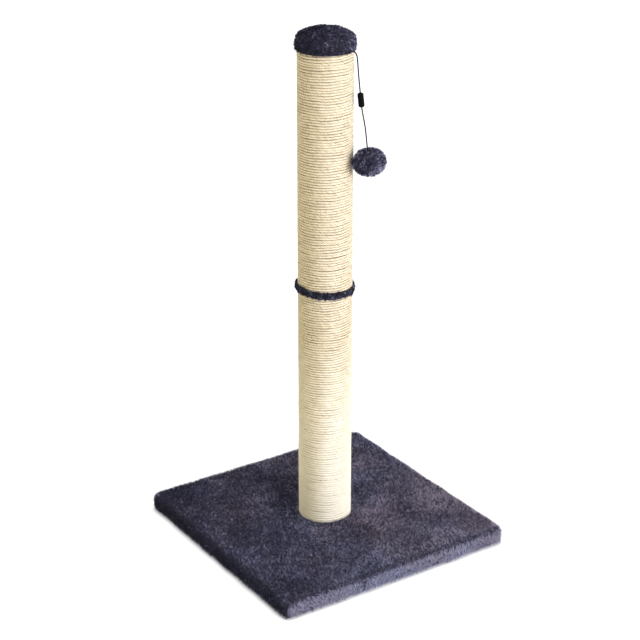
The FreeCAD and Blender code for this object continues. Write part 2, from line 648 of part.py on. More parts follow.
def barrel_half():
    """The outside of the barrel's upper half, chamfered at the parting face and rounded at its end."""
    straight = CONNECTOR_HALF_LENGTH - CONNECTOR_END_RADIUS
    flat = CONNECTOR_RADIUS - CONNECTOR_END_RADIUS
    slant = CONNECTOR_END_RADIUS * math.sin(math.radians(45))
    corners = [(0, CONNECTOR_HALF_LENGTH), (0, 0), (CONNECTOR_RADIUS - CONNECTOR_PARTING_CHAMFER, 0),
               (CONNECTOR_RADIUS, CONNECTOR_PARTING_CHAMFER), (CONNECTOR_RADIUS, straight)]
    outline = [line(start, end) for start, end in zip(corners, corners[1:])]
    end = (flat, CONNECTOR_HALF_LENGTH)
    outline.append(arc((CONNECTOR_RADIUS, straight), (flat + slant, straight + slant), end))
    outline.append(line(end, corners[0]))
    return revolved(outline)


def connector_socket():
    """The upper half: a bore with a groove for the plug's bead, and a hole for the cord."""
    floor = CONNECTOR_HALF_LENGTH - CONNECTOR_END_WALL
    groove = CONNECTOR_BORE_RADIUS + SNAP_GROOVE_DEPTH
    low = SNAP_BEAD_HEIGHT - SNAP_GROOVE_HALF_WIDTH
    high = SNAP_BEAD_HEIGHT + SNAP_GROOVE_HALF_WIDTH
    bore = revolved([
        (0, 0), (CONNECTOR_BORE_RADIUS, 0), (CONNECTOR_BORE_RADIUS, low), (groove, low + SNAP_GROOVE_DEPTH),
        (groove, high - SNAP_GROOVE_DEPTH), (CONNECTOR_BORE_RADIUS, high), (CONNECTOR_BORE_RADIUS, floor),
        (CONNECTOR_HOLE_RADIUS, floor), (CONNECTOR_HOLE_RADIUS, CONNECTOR_HALF_LENGTH),
        (0, CONNECTOR_HALF_LENGTH),
    ])
    return one_solid(on_connector(barrel_half().cut(bore)))


def connector_plug():
    """The lower half: a slotted spigot with a snap bead, and a chamber for the cord's knot."""
    spigot = CONNECTOR_BORE_RADIUS - CONNECTOR_FIT
    bead = spigot + SNAP_BEAD_PROUD
    lead = CONNECTOR_FIT + SNAP_BEAD_PROUD
    body = barrel_half()
    body.rotate(CENTRE, Vector(1, 0, 0), 180)
    shank = revolved([
        (0, -CONNECTOR_END_WALL), (spigot, -CONNECTOR_END_WALL), (spigot, SNAP_BEAD_HEIGHT - 2 * lead),
        (bead, SNAP_BEAD_HEIGHT - lead), (bead, SNAP_BEAD_HEIGHT + lead), (spigot - lead, SPIGOT_LENGTH),
        (0, SPIGOT_LENGTH),
    ])
    body = body.fuse(shank)
    floor = CONNECTOR_END_WALL - CONNECTOR_HALF_LENGTH
    body = body.cut(disc(SPIGOT_BORE_RADIUS, floor, SPIGOT_LENGTH))
    body = body.cut(disc(CONNECTOR_HOLE_RADIUS, -CONNECTOR_HALF_LENGTH, floor))
    slot_foot = SPIGOT_LENGTH - SPIGOT_SLOT_DEPTH
    slot = block(2 * CONNECTOR_BORE_RADIUS, SPIGOT_SLOT_WIDTH, slot_foot, SPIGOT_LENGTH)
    for i in range(SPIGOT_SLOTS):
        body = body.cut(facing(slot, 180 / SPIGOT_SLOTS * i))
    return one_solid(on_connector(body))


def oval(shrunk):
    """The ball's form, smaller all round by the amount given, at its place."""
    side = BALL_SIDE_ROUNDING - shrunk
    upper, top = crown_arcs(BALL_RADIUS - shrunk, side, BALL_CROWN_RADIUS - shrunk, 0)
    lower = [edge.mirror(CENTRE, UP) for edge in upper]
    form = revolved(upper + lower + [line((0, top), (0, -top))])
    form.rotate(CENTRE, Vector(0, 1, 0), -BALL_LEAN)
    form.translate(BALL_CENTRE)
    return form


def cord_passage(radius, foot):
    """A straight hole along the ball's axis, from the foot out through its top."""
    return Part.makeCylinder(radius, 2 * BALL_RADIUS, foot, BALL_AXIS * -1)


def ball_cover():
    cover = oval(0).cut(oval(BALL_COVER_THICKNESS))
    return one_solid(cover.cut(cord_passage(CORD_RADIUS + BALL_HOLE_CLEARANCE, BALL_KNOT)))


def ball_stuffing():
    filling = oval(BALL_COVER_THICKNESS + BALL_STUFFING_CLEARANCE)
    pocket = Part.makeSphere(BALL_KNOT_RADIUS + BALL_STUFFING_CLEARANCE, BALL_KNOT)
    filling = filling.cut(pocket)
    return one_solid(filling.cut(cord_passage(CORD_RADIUS + BALL_HOLE_CLEARANCE, BALL_KNOT)))


def toy_cord_knot():
    return Part.makeSphere(BALL_KNOT_RADIUS, BALL_KNOT)


# --- Assembly -------------------------------------------------------------------------------------

def toy():
    pieces = {
        "toy_cord_tail": toy_cord_tail(),
        "toy_cord_lead": toy_cord_lead(),
        "toy_cord_upper": toy_cord_upper(),
        "connector_socket": connector_socket(),
        "connector_plug": connector_plug(),
        "toy_cord_lower": toy_cord_lower(),
        "toy_cord_knot": toy_cord_knot(),
        "ball_stuffing": ball_stuffing(),
        "ball_cover": ball_cover(),
    }
    return {name: facing(shape, TOY_AZIMUTH) for name, shape in pieces.items()}


def scratching_post():
    pieces = {
        "base_board": base_board(),
        "base_plush": base_plush(),
        "base_staples": base_staples(),
        "base_bolt": base_bolt(),
        "base_washer": base_washer(),
        "lower_tube": tube(POST_FOOT, POST_JOINT),
        "lower_rope": rope(POST_FOOT, POST_JOINT),
        "joining_stud": joining_stud(),
        "upper_tube": tube(POST_JOINT, CAP_UNDERSIDE),
        "upper_rope": rope(POST_JOINT, CAP_UNDERSIDE),
        "plug_nuts": plug_nuts(),
        "tube_staples": tube_staples(),
        "seam_ring": seam_ring(),
        "cap_board": cap_board(),
        "cap_bolt": cap_bolt(),
        "cap_foam": cap_foam(),
        "cap_plush": cap_plush(),
        "cap_staples": cap_staples(),
        "cord_staple": cord_staple(),
    }
    for name, (lip, inward) in PLUG_ENDS.items():
        pieces[name] = into_tube(plug(), lip, inward).cut(tube_staples())
    pieces.update(toy())
    return pieces


os.makedirs("parts", exist_ok=True)
for name, shape in scratching_post().items():
    shape.exportStep("parts/%s.step" % name)
    facts = (name, len(shape.Solids), shape.Volume, shape.isValid())
    print("%-18s solids %2d  volume %10.1f  valid %s" % facts)
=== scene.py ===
import json
import math

import bpy
import numpy as np
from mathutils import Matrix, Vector
from mathutils.kdtree import KDTree

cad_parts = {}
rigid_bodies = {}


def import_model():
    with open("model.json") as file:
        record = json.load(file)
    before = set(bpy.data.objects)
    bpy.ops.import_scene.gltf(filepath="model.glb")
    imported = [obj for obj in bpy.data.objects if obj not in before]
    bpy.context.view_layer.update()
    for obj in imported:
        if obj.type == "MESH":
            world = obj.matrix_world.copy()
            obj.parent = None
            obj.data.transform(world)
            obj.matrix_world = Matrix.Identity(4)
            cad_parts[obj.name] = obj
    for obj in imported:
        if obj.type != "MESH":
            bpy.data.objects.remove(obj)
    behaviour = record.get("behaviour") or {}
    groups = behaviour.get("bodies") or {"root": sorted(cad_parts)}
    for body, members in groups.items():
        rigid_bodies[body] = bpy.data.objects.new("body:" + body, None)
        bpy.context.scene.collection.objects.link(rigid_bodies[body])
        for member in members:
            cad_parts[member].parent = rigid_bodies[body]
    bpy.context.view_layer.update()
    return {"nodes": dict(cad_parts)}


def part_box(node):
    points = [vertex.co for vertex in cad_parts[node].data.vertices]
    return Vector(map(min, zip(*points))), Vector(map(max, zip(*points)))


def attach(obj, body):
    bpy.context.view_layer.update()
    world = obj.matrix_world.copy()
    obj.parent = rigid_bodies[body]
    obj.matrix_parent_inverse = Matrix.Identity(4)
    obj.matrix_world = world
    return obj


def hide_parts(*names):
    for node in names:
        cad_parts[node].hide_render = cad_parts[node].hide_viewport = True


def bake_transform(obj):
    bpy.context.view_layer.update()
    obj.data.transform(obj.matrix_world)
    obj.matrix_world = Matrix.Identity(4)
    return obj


# Cat scratching post: a plush base, two rope-wound posts with a plush strip between them, a plush cap, and a
# plush ball on a cord with a snap connector. Lengths are in metres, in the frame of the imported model.

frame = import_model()

# --- Sizes from the frame ---

BASE_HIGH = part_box("base_plush")[1]
POST_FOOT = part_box("lower_rope")[0].z
POST_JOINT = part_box("upper_rope")[0].z
CAP_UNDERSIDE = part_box("cap_plush")[0].z
CAP_HEM_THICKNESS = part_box("cap_board")[0].z - CAP_UNDERSIDE
CAP_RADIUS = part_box("cap_plush")[1].x
POST_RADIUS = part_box("lower_rope")[1].x
ROPE_INNER_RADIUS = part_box("lower_tube")[1].x
BALL_LOW, BALL_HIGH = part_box("ball_cover")
BALL_CENTRE = (BALL_LOW + BALL_HIGH) / 2

# --- Camera ---

CAMERA_AZIMUTH = math.radians(-33.72)
CAMERA_ELEVATION = math.radians(23.23)
CAMERA_DISTANCE = 2.66088
CAMERA_LENS = 97.96  # millimetres
CAMERA_SENSOR = 36.0
AIM_TO_THE_RIGHT = -0.00771
AIM_HEIGHT = 0.35802
TO_THE_RIGHT = Vector((math.cos(CAMERA_AZIMUTH), math.sin(CAMERA_AZIMUTH), 0))
TO_THE_CAMERA = Vector((math.sin(CAMERA_AZIMUTH), -math.cos(CAMERA_AZIMUTH), 0))

# --- Toy: the same routes as in the part's source, out from the rope and up from the cap's underside ---

TOY_AZIMUTH = math.radians(-50.7)
TOY_OUT = Vector((math.cos(TOY_AZIMUTH), math.sin(TOY_AZIMUTH), 0))
TOY_SIDE = Vector((-math.sin(TOY_AZIMUTH), math.cos(TOY_AZIMUTH), 0))  # square to the toy's upright plane
CORD_DIAMETER = 0.002
TAIL_ROUTE = [(-0.0018, 0.0115), (-0.0018, 0.0062), (0.0002, 0.0026)]
LEAD_ROUTE = [(0.0024, -0.0006), (0.0046, -0.0036), (0.0058, -0.0072)]
UPPER_ROUTE = [(0.0067, -0.0150), (0.0076, -0.0270), (0.0093, -0.0457)]
LOWER_ROUTE = [(0.0135, -0.0835), (0.0154, -0.0935), (0.0186, -0.1090), (0.0206, -0.1250),
               (0.0222, -0.1420)]
CONNECTOR_PLACE = (0.01205, -0.07045)
CONNECTOR_LEAN = math.radians(6.3)
CONNECTOR_KNOT = 0.00746  # from the connector's middle to the knot in each half
BALL_LEAN = math.radians(9.3)
BALL_RADIUS = 0.0254
BALL_HALF_HEIGHT = 0.022
BALL_KNOT_HEIGHT = 0.010


def toy_place(out, height):
    return TOY_OUT * (POST_RADIUS + out) + Vector((0, 0, CAP_UNDERSIDE + height))


def leaning(angle):
    """The downward direction in the toy's plane that leans out from plumb."""
    return TOY_OUT * math.sin(angle) - Vector((0, 0, math.cos(angle)))


# --- Making meshes ---

def placed(name, data):
    """A new object of some data, put in the scene."""
    made = bpy.data.objects.new(name, data)
    bpy.context.scene.collection.objects.link(made)
    return made


def piece(name, points, faces, material, smooth=True):
    mesh = bpy.data.meshes.new(name)
    mesh.from_pydata(np.asarray(points, float), [], faces)
    if smooth:
        mesh.shade_smooth()
    mesh.materials.append(material)
    return placed(name, mesh)


def quads(rows, columns, wrap=False):
    """Faces of a grid of points, row by row; with wrap, each row is a closed ring."""
    across = columns if wrap else columns - 1
    row, column = np.meshgrid(np.arange(rows - 1), np.arange(across), indexing="ij")
    here = row * columns + column
    beside = row * columns + (column + 1) % columns
    return np.stack([here, beside, beside + columns, here + columns], axis=-1).reshape(-1, 4)


def lengthwise_uv(obj, along, around, four_sided):
    """A UV map from a value for each point: metres along the piece, and turns round it.

    It covers the piece's first faces, which have four sides; the rest stay at nought.
    """
    loops = np.zeros(len(obj.data.loops), np.int32)
    obj.data.loops.foreach_get("vertex_index", loops)
    covered = loops[:4 * four_sided]
    corners = around[covered].reshape(-1, 4)
    past_seam = corners.max(axis=1, keepdims=True) - corners > 0.5
    uv = np.zeros((len(loops), 2), np.float32)
    uv[:len(covered), 0] = along[covered]
    uv[:len(covered), 1] = (corners + past_seam).ravel()
    obj.data.uv_layers.new(name="along").data.foreach_set("uv", uv.ravel())


def triples(collection, attribute):
    values = np.zeros(len(collection) * 3, np.float32)
    collection.foreach_get(attribute, values)
    return values.reshape(-1, 3).astype(float)


def vertices(obj):
    return triples(obj.data.vertices, "co")


def normals(obj):
    return triples(obj.data.vertex_normals, "vector")


def set_vertices(obj, values):
    obj.data.vertices.foreach_set("co", values.astype(np.float32).ravel())
    obj.data.update()


def displace(obj, distance):
    """Moves each of a piece's points by its own distance, square to the surface."""
    set_vertices(obj, vertices(obj) + normals(obj) * distance[:, None])


def from_axis(places):
    """How far each place is from the post's axis."""
    return np.hypot(places[:, 0], places[:, 1])


def ripple(points, wavelength, seed, waves=24):
    """Smooth random values, mostly from -1 to 1, that change over about a wavelength."""
    random = np.random.default_rng(seed)
    directions = random.normal(size=(waves, points.shape[1]))
    directions /= np.linalg.norm(directions, axis=1, keepdims=True)
    turns = directions * random.uniform(0.7, 1.4, (waves, 1)) * 2 * math.pi / wavelength
    phases = random.uniform(0, 2 * math.pi, waves)
    return np.sin(points @ turns.T + phases).sum(axis=1) / math.sqrt(waves)


def rightness(directions):
    """How far each direction points to the right, as the camera sees it."""
    return directions @ np.array(TO_THE_RIGHT)


def hump(value, middle, width):
    """1 at the middle, and down to nothing over about twice the width."""
    return np.exp(-((value - middle) / width) ** 2)


def pointing(angle, upward=0.0):
    """Directions at these angles round the post's axis, that all rise alike."""
    return np.stack([np.cos(angle), np.sin(angle), np.full(len(angle), upward)], axis=1)


def round_the_post(angle):
    """Level directions along the post's surface, at these angles round its axis."""
    return np.stack([-np.sin(angle), np.cos(angle), np.zeros(len(angle))], axis=1)


def smooth_step(value, low, high):
    share = np.clip((value - low) / (high - low), 0, 1)
    return share * share * (3 - 2 * share)


def spline_points(route, resolution=24):
    """The points of the smooth line, a NURBS spline, whose control points are the route."""
    curve = bpy.data.curves.new("route", "CURVE")
    curve.dimensions = "3D"
    curve.resolution_u = resolution
    spline = curve.splines.new("NURBS")
    spline.points.add(len(route) - 1)
    for point, place in zip(spline.points, route):
        point.co = (*place, 1)
    spline.order_u = 3
    spline.use_endpoint_u = True
    holder = bpy.data.objects.new("route", curve)
    mesh = bpy.data.meshes.new_from_object(holder)
    line = [vertex.co.copy() for vertex in mesh.vertices]
    bpy.data.meshes.remove(mesh)
    bpy.data.curves.remove(curve)
    return line


def tube(name, line, side, radius, material, sides=16):
    """A closed tube along a line that lies in the plane square to the side direction."""
    points = []
    along = []
    travelled = 0.0
    for i, place in enumerate(line):
        ahead = line[min(i + 1, len(line) - 1)] - line[max(i - 1, 0)]
        across = ahead.cross(side).normalized()
        travelled += (place - line[i - 1]).length if i else 0.0
        for k in range(sides):
            angle = 2 * math.pi * k / sides
            points.append(place + radius * (math.cos(angle) * side + math.sin(angle) * across))
            along.append(travelled)
    around = np.tile(np.arange(sides) / sides, len(line))
    side_faces = quads(len(line), sides, wrap=True).tolist()
    ends = [list(range(sides))[::-1], list(range(len(points) - sides, len(points)))]
    made = piece(name, points, side_faces + ends, material)
    lengthwise_uv(made, np.array(along), around, four_sided=len(side_faces))
    return made


# --- Materials ---

def new_material(name):
    """A new material, its node tree and its shader."""
    material = bpy.data.materials.new(name)
    material.use_nodes = True
    return material, material.node_tree, material.node_tree.nodes["Principled BSDF"]


def node(tree, kind, inputs=None, **settings):
    """A node with its settings, and with its inputs set or linked."""
    made = tree.nodes.new("ShaderNode" + kind)
    for name, value in settings.items():
        setattr(made, name, value)
    for name, value in (inputs or {}).items():
        socket = made.inputs[name]
        if isinstance(value, bpy.types.NodeSocket):
            tree.links.new(value, socket)
        else:
            socket.default_value = value
    return made


def here(tree, source="Object"):
    return node(tree, "TexCoord").outputs[source]


def noise(tree, vector, scale, detail=3.0, roughness=0.55):
    inputs = {"Vector": vector, "Scale": scale, "Detail": detail, "Roughness": roughness}
    return node(tree, "TexNoise", inputs).outputs["Fac"]


def ramp(tree, value, stops):
    """Colours between the stops, each a place and a colour."""
    made = node(tree, "ValToRGB", {"Fac": value})
    elements = made.color_ramp.elements
    while len(elements) < len(stops):
        elements.new(0.5)
    for element, (place, colour) in zip(elements, stops):
        element.position = place
        element.color = (*colour, 1)
    return made.outputs["Color"]


def span(tree, value, low, high, to_low, to_high):
    inputs = {"Value": value, "From Min": low, "From Max": high, "To Min": to_low, "To Max": to_high}
    return node(tree, "MapRange", inputs).outputs["Result"]


def stretched(tree, vector, scale):
    return node(tree, "Mapping", {"Vector": vector, "Scale": scale}).outputs["Vector"]


def bumped(tree, shader, height, strength, distance):
    made = node(tree, "Bump", {"Height": height, "Strength": strength, "Distance": distance})
    link(tree, made.outputs["Normal"], shader, "Normal")


def link(tree, value, shader, name):
    tree.links.new(value, shader.inputs[name])


def coloured(tree, shader, value, stops):
    link(tree, ramp(tree, value, stops), shader, "Base Color")


def added(tree, first, second, operation="ADD"):
    return node(tree, "Math", {0: first, 1: second}, operation=operation).outputs[0]


def weighed(tree, *parts):
    """The sum of some values, each times its share."""
    total = None
    for value, share in parts:
        part = added(tree, value, share, "MULTIPLY")
        total = part if total is None else added(tree, total, part)
    return total


def evenly(shader, settings):
    """Numbers and colours that are the same all over a surface."""
    for name, value in settings.items():
        shader.inputs[name].default_value = value


NAVY_DEEP = (0.007, 0.0065, 0.016)
NAVY = (0.022, 0.021, 0.044)
NAVY_LIGHT = (0.066, 0.064, 0.108)


def plush_material():
    """The woven ground and the roots of a short, tufted pile."""
    material, tree, shader = new_material("navy_plush")
    tufts = noise(tree, here(tree), 330.0, 2.0)
    fibres = noise(tree, here(tree), 1900.0, 2.0)
    patches = noise(tree, here(tree), 18.0, 3.0)
    mixed = weighed(tree, (tufts, 0.5), (fibres, 0.25), (patches, 0.25))
    stops = [(0.36, NAVY_DEEP), (0.52, NAVY), (0.68, NAVY_LIGHT)]
    coloured(tree, shader, mixed, stops)
    bumped(tree, shader, added(tree, tufts, fibres), 0.7, 0.0012)
    evenly(shader, {"Roughness": 0.92, "Sheen Weight": 0.35, "Sheen Roughness": 0.45})
    evenly(shader, {"Sheen Tint": (0.62, 0.60, 0.74, 1)})
    return material


def fibre_material(name, root, tip, spread):
    """Single fibres, darker at the root, that differ a little from one to the next."""
    material, tree, shader = new_material(name)
    hair = node(tree, "HairInfo")
    patches = noise(tree, here(tree), 16.0, 3.0)
    shade = weighed(tree, (hair.outputs["Random"], spread), (hair.outputs["Intercept"], 0.5), (patches, 0.3))
    coloured(tree, shader, shade, [(0.15, root), (0.85, tip)])
    evenly(shader, {"Roughness": 0.62, "Sheen Weight": 0.2})
    return material


PILE_COLOURS = [(0.0, (0.007, 0.0065, 0.020)), (0.35, (0.042, 0.040, 0.088)),
                (0.7, (0.160, 0.154, 0.238)), (1.0, (0.430, 0.420, 0.530))]
BLUER = (0.93, 0.97, 1.08)
PLUMMER = (1.10, 0.97, 0.96)


def pile_material():
    """Navy pile: a fibre has its tuft's own tone with painted light and shade, is dark at its root, and
    leans to blue or plum.
    """
    material, tree, shader = new_material("navy_pile")
    hair = node(tree, "HairInfo")
    # The tone holds each fibre's own tone with the painted light and shade of its place.
    tone = node(tree, "Attribute", attribute_name="tone").outputs["Fac"]
    mottle = noise(tree, here(tree), 420.0, 2.0)
    shade = weighed(tree, (tone, 1.0), (hair.outputs["Intercept"], 0.30), (mottle, 0.30))
    shade = added(tree, shade, 0.30, "SUBTRACT")
    patches = noise(tree, here(tree), 7.0, 2.0)
    tint = ramp(tree, patches, [(0.42, BLUER), (0.64, PLUMMER)])
    sockets = {0: 1.0, 6: ramp(tree, shade, PILE_COLOURS), 7: tint}
    mixed = node(tree, "Mix", sockets, data_type="RGBA", blend_type="MULTIPLY")
    link(tree, mixed.outputs[2], shader, "Base Color")
    evenly(shader, {"Roughness": 0.60, "Specular IOR Level": 0.25, "Sheen Weight": 0.08})
    return material


STRANDS = 3
SISAL_DEEP = (0.30, 0.205, 0.095)
SISAL = (0.69, 0.580, 0.390)
SISAL_PALE = (0.91, 0.840, 0.690)
SHADED_SIDE_TINT = (1.02, 0.985, 0.80)  # painted shade: the rope's side away from the light is painted a warmer tan
LIT_SIDE_TINT = (0.99, 1.0, 1.05)
FOOT_PAINTED_LIGHT = 0.240  # painted light: a lift of the tone at the post's foot, which falls to the next higher up
PAINTED_LIGHT_HIGHER_UP = 0.014


def sisal_material():
    """Pale twisted plant fibre: streaks along the strands, painted shade in the grooves between them and the
    turns, painted light at the post's foot and a painted warmer shade on the side away from the light.
    """
    material, tree, shader = new_material("sisal_rope")
    along = here(tree, "UV")
    fibres = noise(tree, stretched(tree, along, (260.0, 22.0, 1.0)), 1.0, 4.0, 0.65)
    lengths = noise(tree, stretched(tree, along, (70.0, 3.0, 1.0)), 1.0, 2.0)
    specks = noise(tree, here(tree), 520.0, 3.0)
    round_it = node(tree, "SeparateXYZ", {"Vector": along}).outputs["Y"]
    wave = added(tree, added(tree, round_it, STRANDS * math.pi, "MULTIPLY"), 0.0, "COSINE")
    crown = added(tree, wave, 0.0, "ABSOLUTE")
    mixed = weighed(tree, (fibres, 0.34), (lengths, 0.28), (specks, 0.20))
    # Painted shade between the strands: their crowns are lighter than the grooves between them.
    mixed = added(tree, mixed, span(tree, crown, 0.0, 0.75, 0.0, 0.10))
    place = node(tree, "SeparateXYZ", {"Vector": here(tree)}).outputs
    # Painted light at the post's foot, falling off higher up.
    mixed = added(tree, mixed, span(tree, place["Z"], 0.03, 0.34, FOOT_PAINTED_LIGHT, PAINTED_LIGHT_HIGHER_UP))
    flat = node(tree, "CombineXYZ", {"X": place["X"], "Y": place["Y"]}).outputs["Vector"]
    outward = node(tree, "VectorMath", {0: flat}, operation="LENGTH").outputs["Value"]
    # Painted shade in the grooves between the turns, stronger low on the post.
    painted_groove_shade = span(tree, outward, POST_RADIUS - 0.0014, POST_RADIUS - 0.0004, -0.10, 0.0)
    groove_shade_by_height = span(tree, place["Z"], 0.05, 0.55, 1.5, 0.5)
    mixed = added(tree, mixed, added(tree, painted_groove_shade, groove_shade_by_height, "MULTIPLY"))
    stops = [(0.34, SISAL_DEEP), (0.47, SISAL), (0.64, SISAL_PALE)]
    # Painted shade: the rope's side away from the light is tinted a warmer tan, its lit side a little bluer.
    to_the_right = node(tree, "VectorMath", {0: flat, 1: TO_THE_RIGHT}, operation="DOT_PRODUCT")
    lit_side_share = span(tree, to_the_right.outputs["Value"], -0.030, 0.004, 0.0, 1.0)
    painted_side_tint = ramp(tree, lit_side_share, [(0.0, SHADED_SIDE_TINT), (1.0, LIT_SIDE_TINT)])
    tinted = node(tree, "VectorMath", {0: ramp(tree, mixed, stops), 1: painted_side_tint}, operation="MULTIPLY")
    link(tree, tinted.outputs["Vector"], shader, "Base Color")
    bumped(tree, shader, fibres, 0.6, 0.0005)
    link(tree, span(tree, fibres, 0.3, 0.7, 0.75, 0.55), shader, "Roughness")
    evenly(shader, {"Sheen Weight": 0.15})
    return material


def cord_material():
    """Black braided elastic: two sets of fine ridges that cross."""
    material, tree, shader = new_material("braided_elastic")
    along = here(tree, "UV")
    ridges = []
    for hand in (1.0, -1.0):
        turned = stretched(tree, along, (900.0, 4.0 * hand, 1.0))
        wave = node(tree, "TexWave", {"Vector": turned, "Scale": 0.5},
                    wave_type="BANDS", bands_direction="DIAGONAL")
        ridges.append(wave.outputs["Fac"])
    braid = added(tree, ridges[0], ridges[1], "MAXIMUM")
    stops = [(0.2, (0.0015, 0.0015, 0.002)), (0.9, (0.006, 0.006, 0.008))]
    coloured(tree, shader, braid, stops)
    bumped(tree, shader, braid, 0.3, 0.0001)
    evenly(shader, {"Roughness": 0.9, "Specular IOR Level": 0.02})
    return material


def plastic_material(name, colour, roughness, gloss=0.5):
    """Moulded plastic with a fine spark-eroded grain and faint rubbing marks."""
    material, tree, shader = new_material(name)
    fine = noise(tree, here(tree), 1400.0, 2.0)
    rubbed = noise(tree, stretched(tree, here(tree), (90.0, 90.0, 600.0)), 1.0, 4.0)
    pale = tuple(min(1.0, value * 1.6 + 0.001) for value in colour)
    coloured(tree, shader, rubbed, [(0.35, colour), (0.75, pale)])
    link(tree, span(tree, rubbed, 0.3, 0.7, roughness - 0.06, roughness + 0.1), shader, "Roughness")
    bumped(tree, shader, fine, 0.25, 0.0001)
    evenly(shader, {"Specular IOR Level": gloss})
    return material


def steel_material():
    """Zinc-plated steel: a soft grey with cloudy plating and fine drawing lines."""
    material, tree, shader = new_material("zinc_plated_steel")
    cloud = noise(tree, here(tree), 180.0, 4.0)
    lines = noise(tree, stretched(tree, here(tree), (1500.0, 1500.0, 90.0)), 1.0, 2.0)
    stops = [(0.3, (0.46, 0.47, 0.48)), (0.7, (0.66, 0.67, 0.68))]
    coloured(tree, shader, cloud, stops)
    link(tree, span(tree, cloud, 0.3, 0.7, 0.28, 0.46), shader, "Roughness")
    bumped(tree, shader, lines, 0.2, 0.0001)
    evenly(shader, {"Metallic": 1.0})
    return material


def chipboard_material():
    """Pressed wood chips: pale and dark flakes with pits between them."""
    material, tree, shader = new_material("chipboard")
    chips = stretched(tree, here(tree), (160.0, 160.0, 420.0))
    flakes = node(tree, "TexVoronoi", {"Vector": chips, "Scale": 1.0})
    fine = noise(tree, here(tree), 900.0, 3.0)
    tone = weighed(tree, (flakes.outputs["Color"], 0.7), (fine, 0.3))
    stops = [(0.2, (0.22, 0.13, 0.06)), (0.5, (0.48, 0.33, 0.18)), (0.85, (0.66, 0.50, 0.31))]
    coloured(tree, shader, tone, stops)
    bumped(tree, shader, added(tree, flakes.outputs["Distance"], fine), 0.4, 0.0005)
    evenly(shader, {"Roughness": 0.85})
    return material


def cardboard_material():
    """Spiral-wound card: brown paper with fibres and the plies' slanting lines."""
    material, tree, shader = new_material("wound_cardboard")
    fibres = noise(tree, stretched(tree, here(tree), (300.0, 300.0, 60.0)), 1.0, 4.0)
    plies = node(tree, "TexWave", {"Vector": here(tree), "Scale": 4.0, "Distortion": 0.4},
                 wave_type="BANDS", bands_direction="DIAGONAL").outputs["Fac"]
    tone = weighed(tree, (fibres, 0.8), (plies, 0.2))
    stops = [(0.3, (0.27, 0.17, 0.09)), (0.7, (0.47, 0.34, 0.21))]
    coloured(tree, shader, tone, stops)
    bumped(tree, shader, fibres, 0.3, 0.0003)
    evenly(shader, {"Roughness": 0.9})
    return material


def foam_material():
    """Open-cell foam, pale with small pores."""
    material, tree, shader = new_material("open_foam")
    pores = node(tree, "TexVoronoi", {"Vector": here(tree), "Scale": 900.0}).outputs["Distance"]
    stops = [(0.1, (0.45, 0.42, 0.34)), (0.6, (0.82, 0.79, 0.69))]
    coloured(tree, shader, pores, stops)
    bumped(tree, shader, pores, 0.7, 0.0006)
    evenly(shader, {"Roughness": 0.95})
    return material


def stuffing_material():
    """Crimped white polyester fibre."""
    material, tree, shader = new_material("fibre_filling")
    crimp = noise(tree, here(tree), 500.0, 6.0, 0.7)
    stops = [(0.3, (0.62, 0.62, 0.60)), (0.7, (0.88, 0.88, 0.86))]
    coloured(tree, shader, crimp, stops)
    bumped(tree, shader, crimp, 0.8, 0.0012)
    evenly(shader, {"Roughness": 0.95, "Sheen Weight": 0.3})
    return material


PLUSH = plush_material()
PLUSH_FIBRE = pile_material()
SISAL_ROPE = sisal_material()
SISAL_FIBRE = fibre_material("sisal_fibre", (0.55, 0.44, 0.26), (0.88, 0.80, 0.60), 0.5)
BARK = fibre_material("sisal_bark", (0.035, 0.028, 0.016), (0.17, 0.13, 0.07), 0.5)
CORD = cord_material()
BLACK_PLASTIC = plastic_material("black_connector", (0.0015, 0.0015, 0.002), 0.6, 0.05)
GREY_PLASTIC = plastic_material("grey_moulding", (0.10, 0.10, 0.105), 0.55)
STEEL = steel_material()
CHIPBOARD = chipboard_material()
CARDBOARD = cardboard_material()
FOAM = foam_material()
FILLING = stuffing_material()

NODE_MATERIALS = {
    CHIPBOARD: ["base_board", "cap_board"],
    CARDBOARD: ["lower_tube", "upper_tube"],
    GREY_PLASTIC: ["lower_bottom_plug", "lower_top_plug", "upper_bottom_plug", "upper_top_plug"],
    STEEL: ["base_bolt", "base_washer", "joining_stud", "plug_nuts", "cap_bolt", "base_staples",
            "tube_staples", "cap_staples", "cord_staple"],
    FOAM: ["cap_foam"],
    FILLING: ["ball_stuffing"],
    BLACK_PLASTIC: ["connector_socket", "connector_plug"],
    CORD: ["toy_cord_knot"],
}


def finish_nodes():
    for material, names in NODE_MATERIALS.items():
        for name in names:
            mesh = frame["nodes"][name].data
            mesh.materials.clear()
            mesh.materials.append(material)


# --- Fur ---

def scattered(obj, per_square_metre, wanted, seed):
    """Points spread evenly over a piece's faces, with the surface's direction at each."""
    mesh = obj.data
    mesh.calc_loop_triangles()
    corners = np.zeros(len(mesh.loop_triangles) * 3, np.int32)
    mesh.loop_triangles.foreach_get("vertices", corners)
    corners = corners.reshape(-1, 3)
    places = vertices(obj)
    facing = normals(obj)
    a, b, c = (places[corners[:, i]] for i in range(3))
    areas = np.linalg.norm(np.cross(b - a, c - a), axis=1) / 2
    areas *= wanted((a + b + c) / 3, facing[corners].mean(axis=1))
    random = np.random.default_rng(seed)
    count = int(areas.sum() * per_square_metre)
    chosen = random.choice(len(areas), count, p=areas / areas.sum())
    u, v = random.random((2, count, 1))
    folded = u + v > 1
    u, v = np.where(folded, 1 - u, u), np.where(folded, 1 - v, v)
    roots = a[chosen] + u * (b - a)[chosen] + v * (c - a)[chosen]
    directions = [facing[corners[chosen, i]] for i in range(3)]
    out = directions[0] * (1 - u - v) + directions[1] * u + directions[2] * v
    return roots, out / np.linalg.norm(out, axis=1, keepdims=True), random


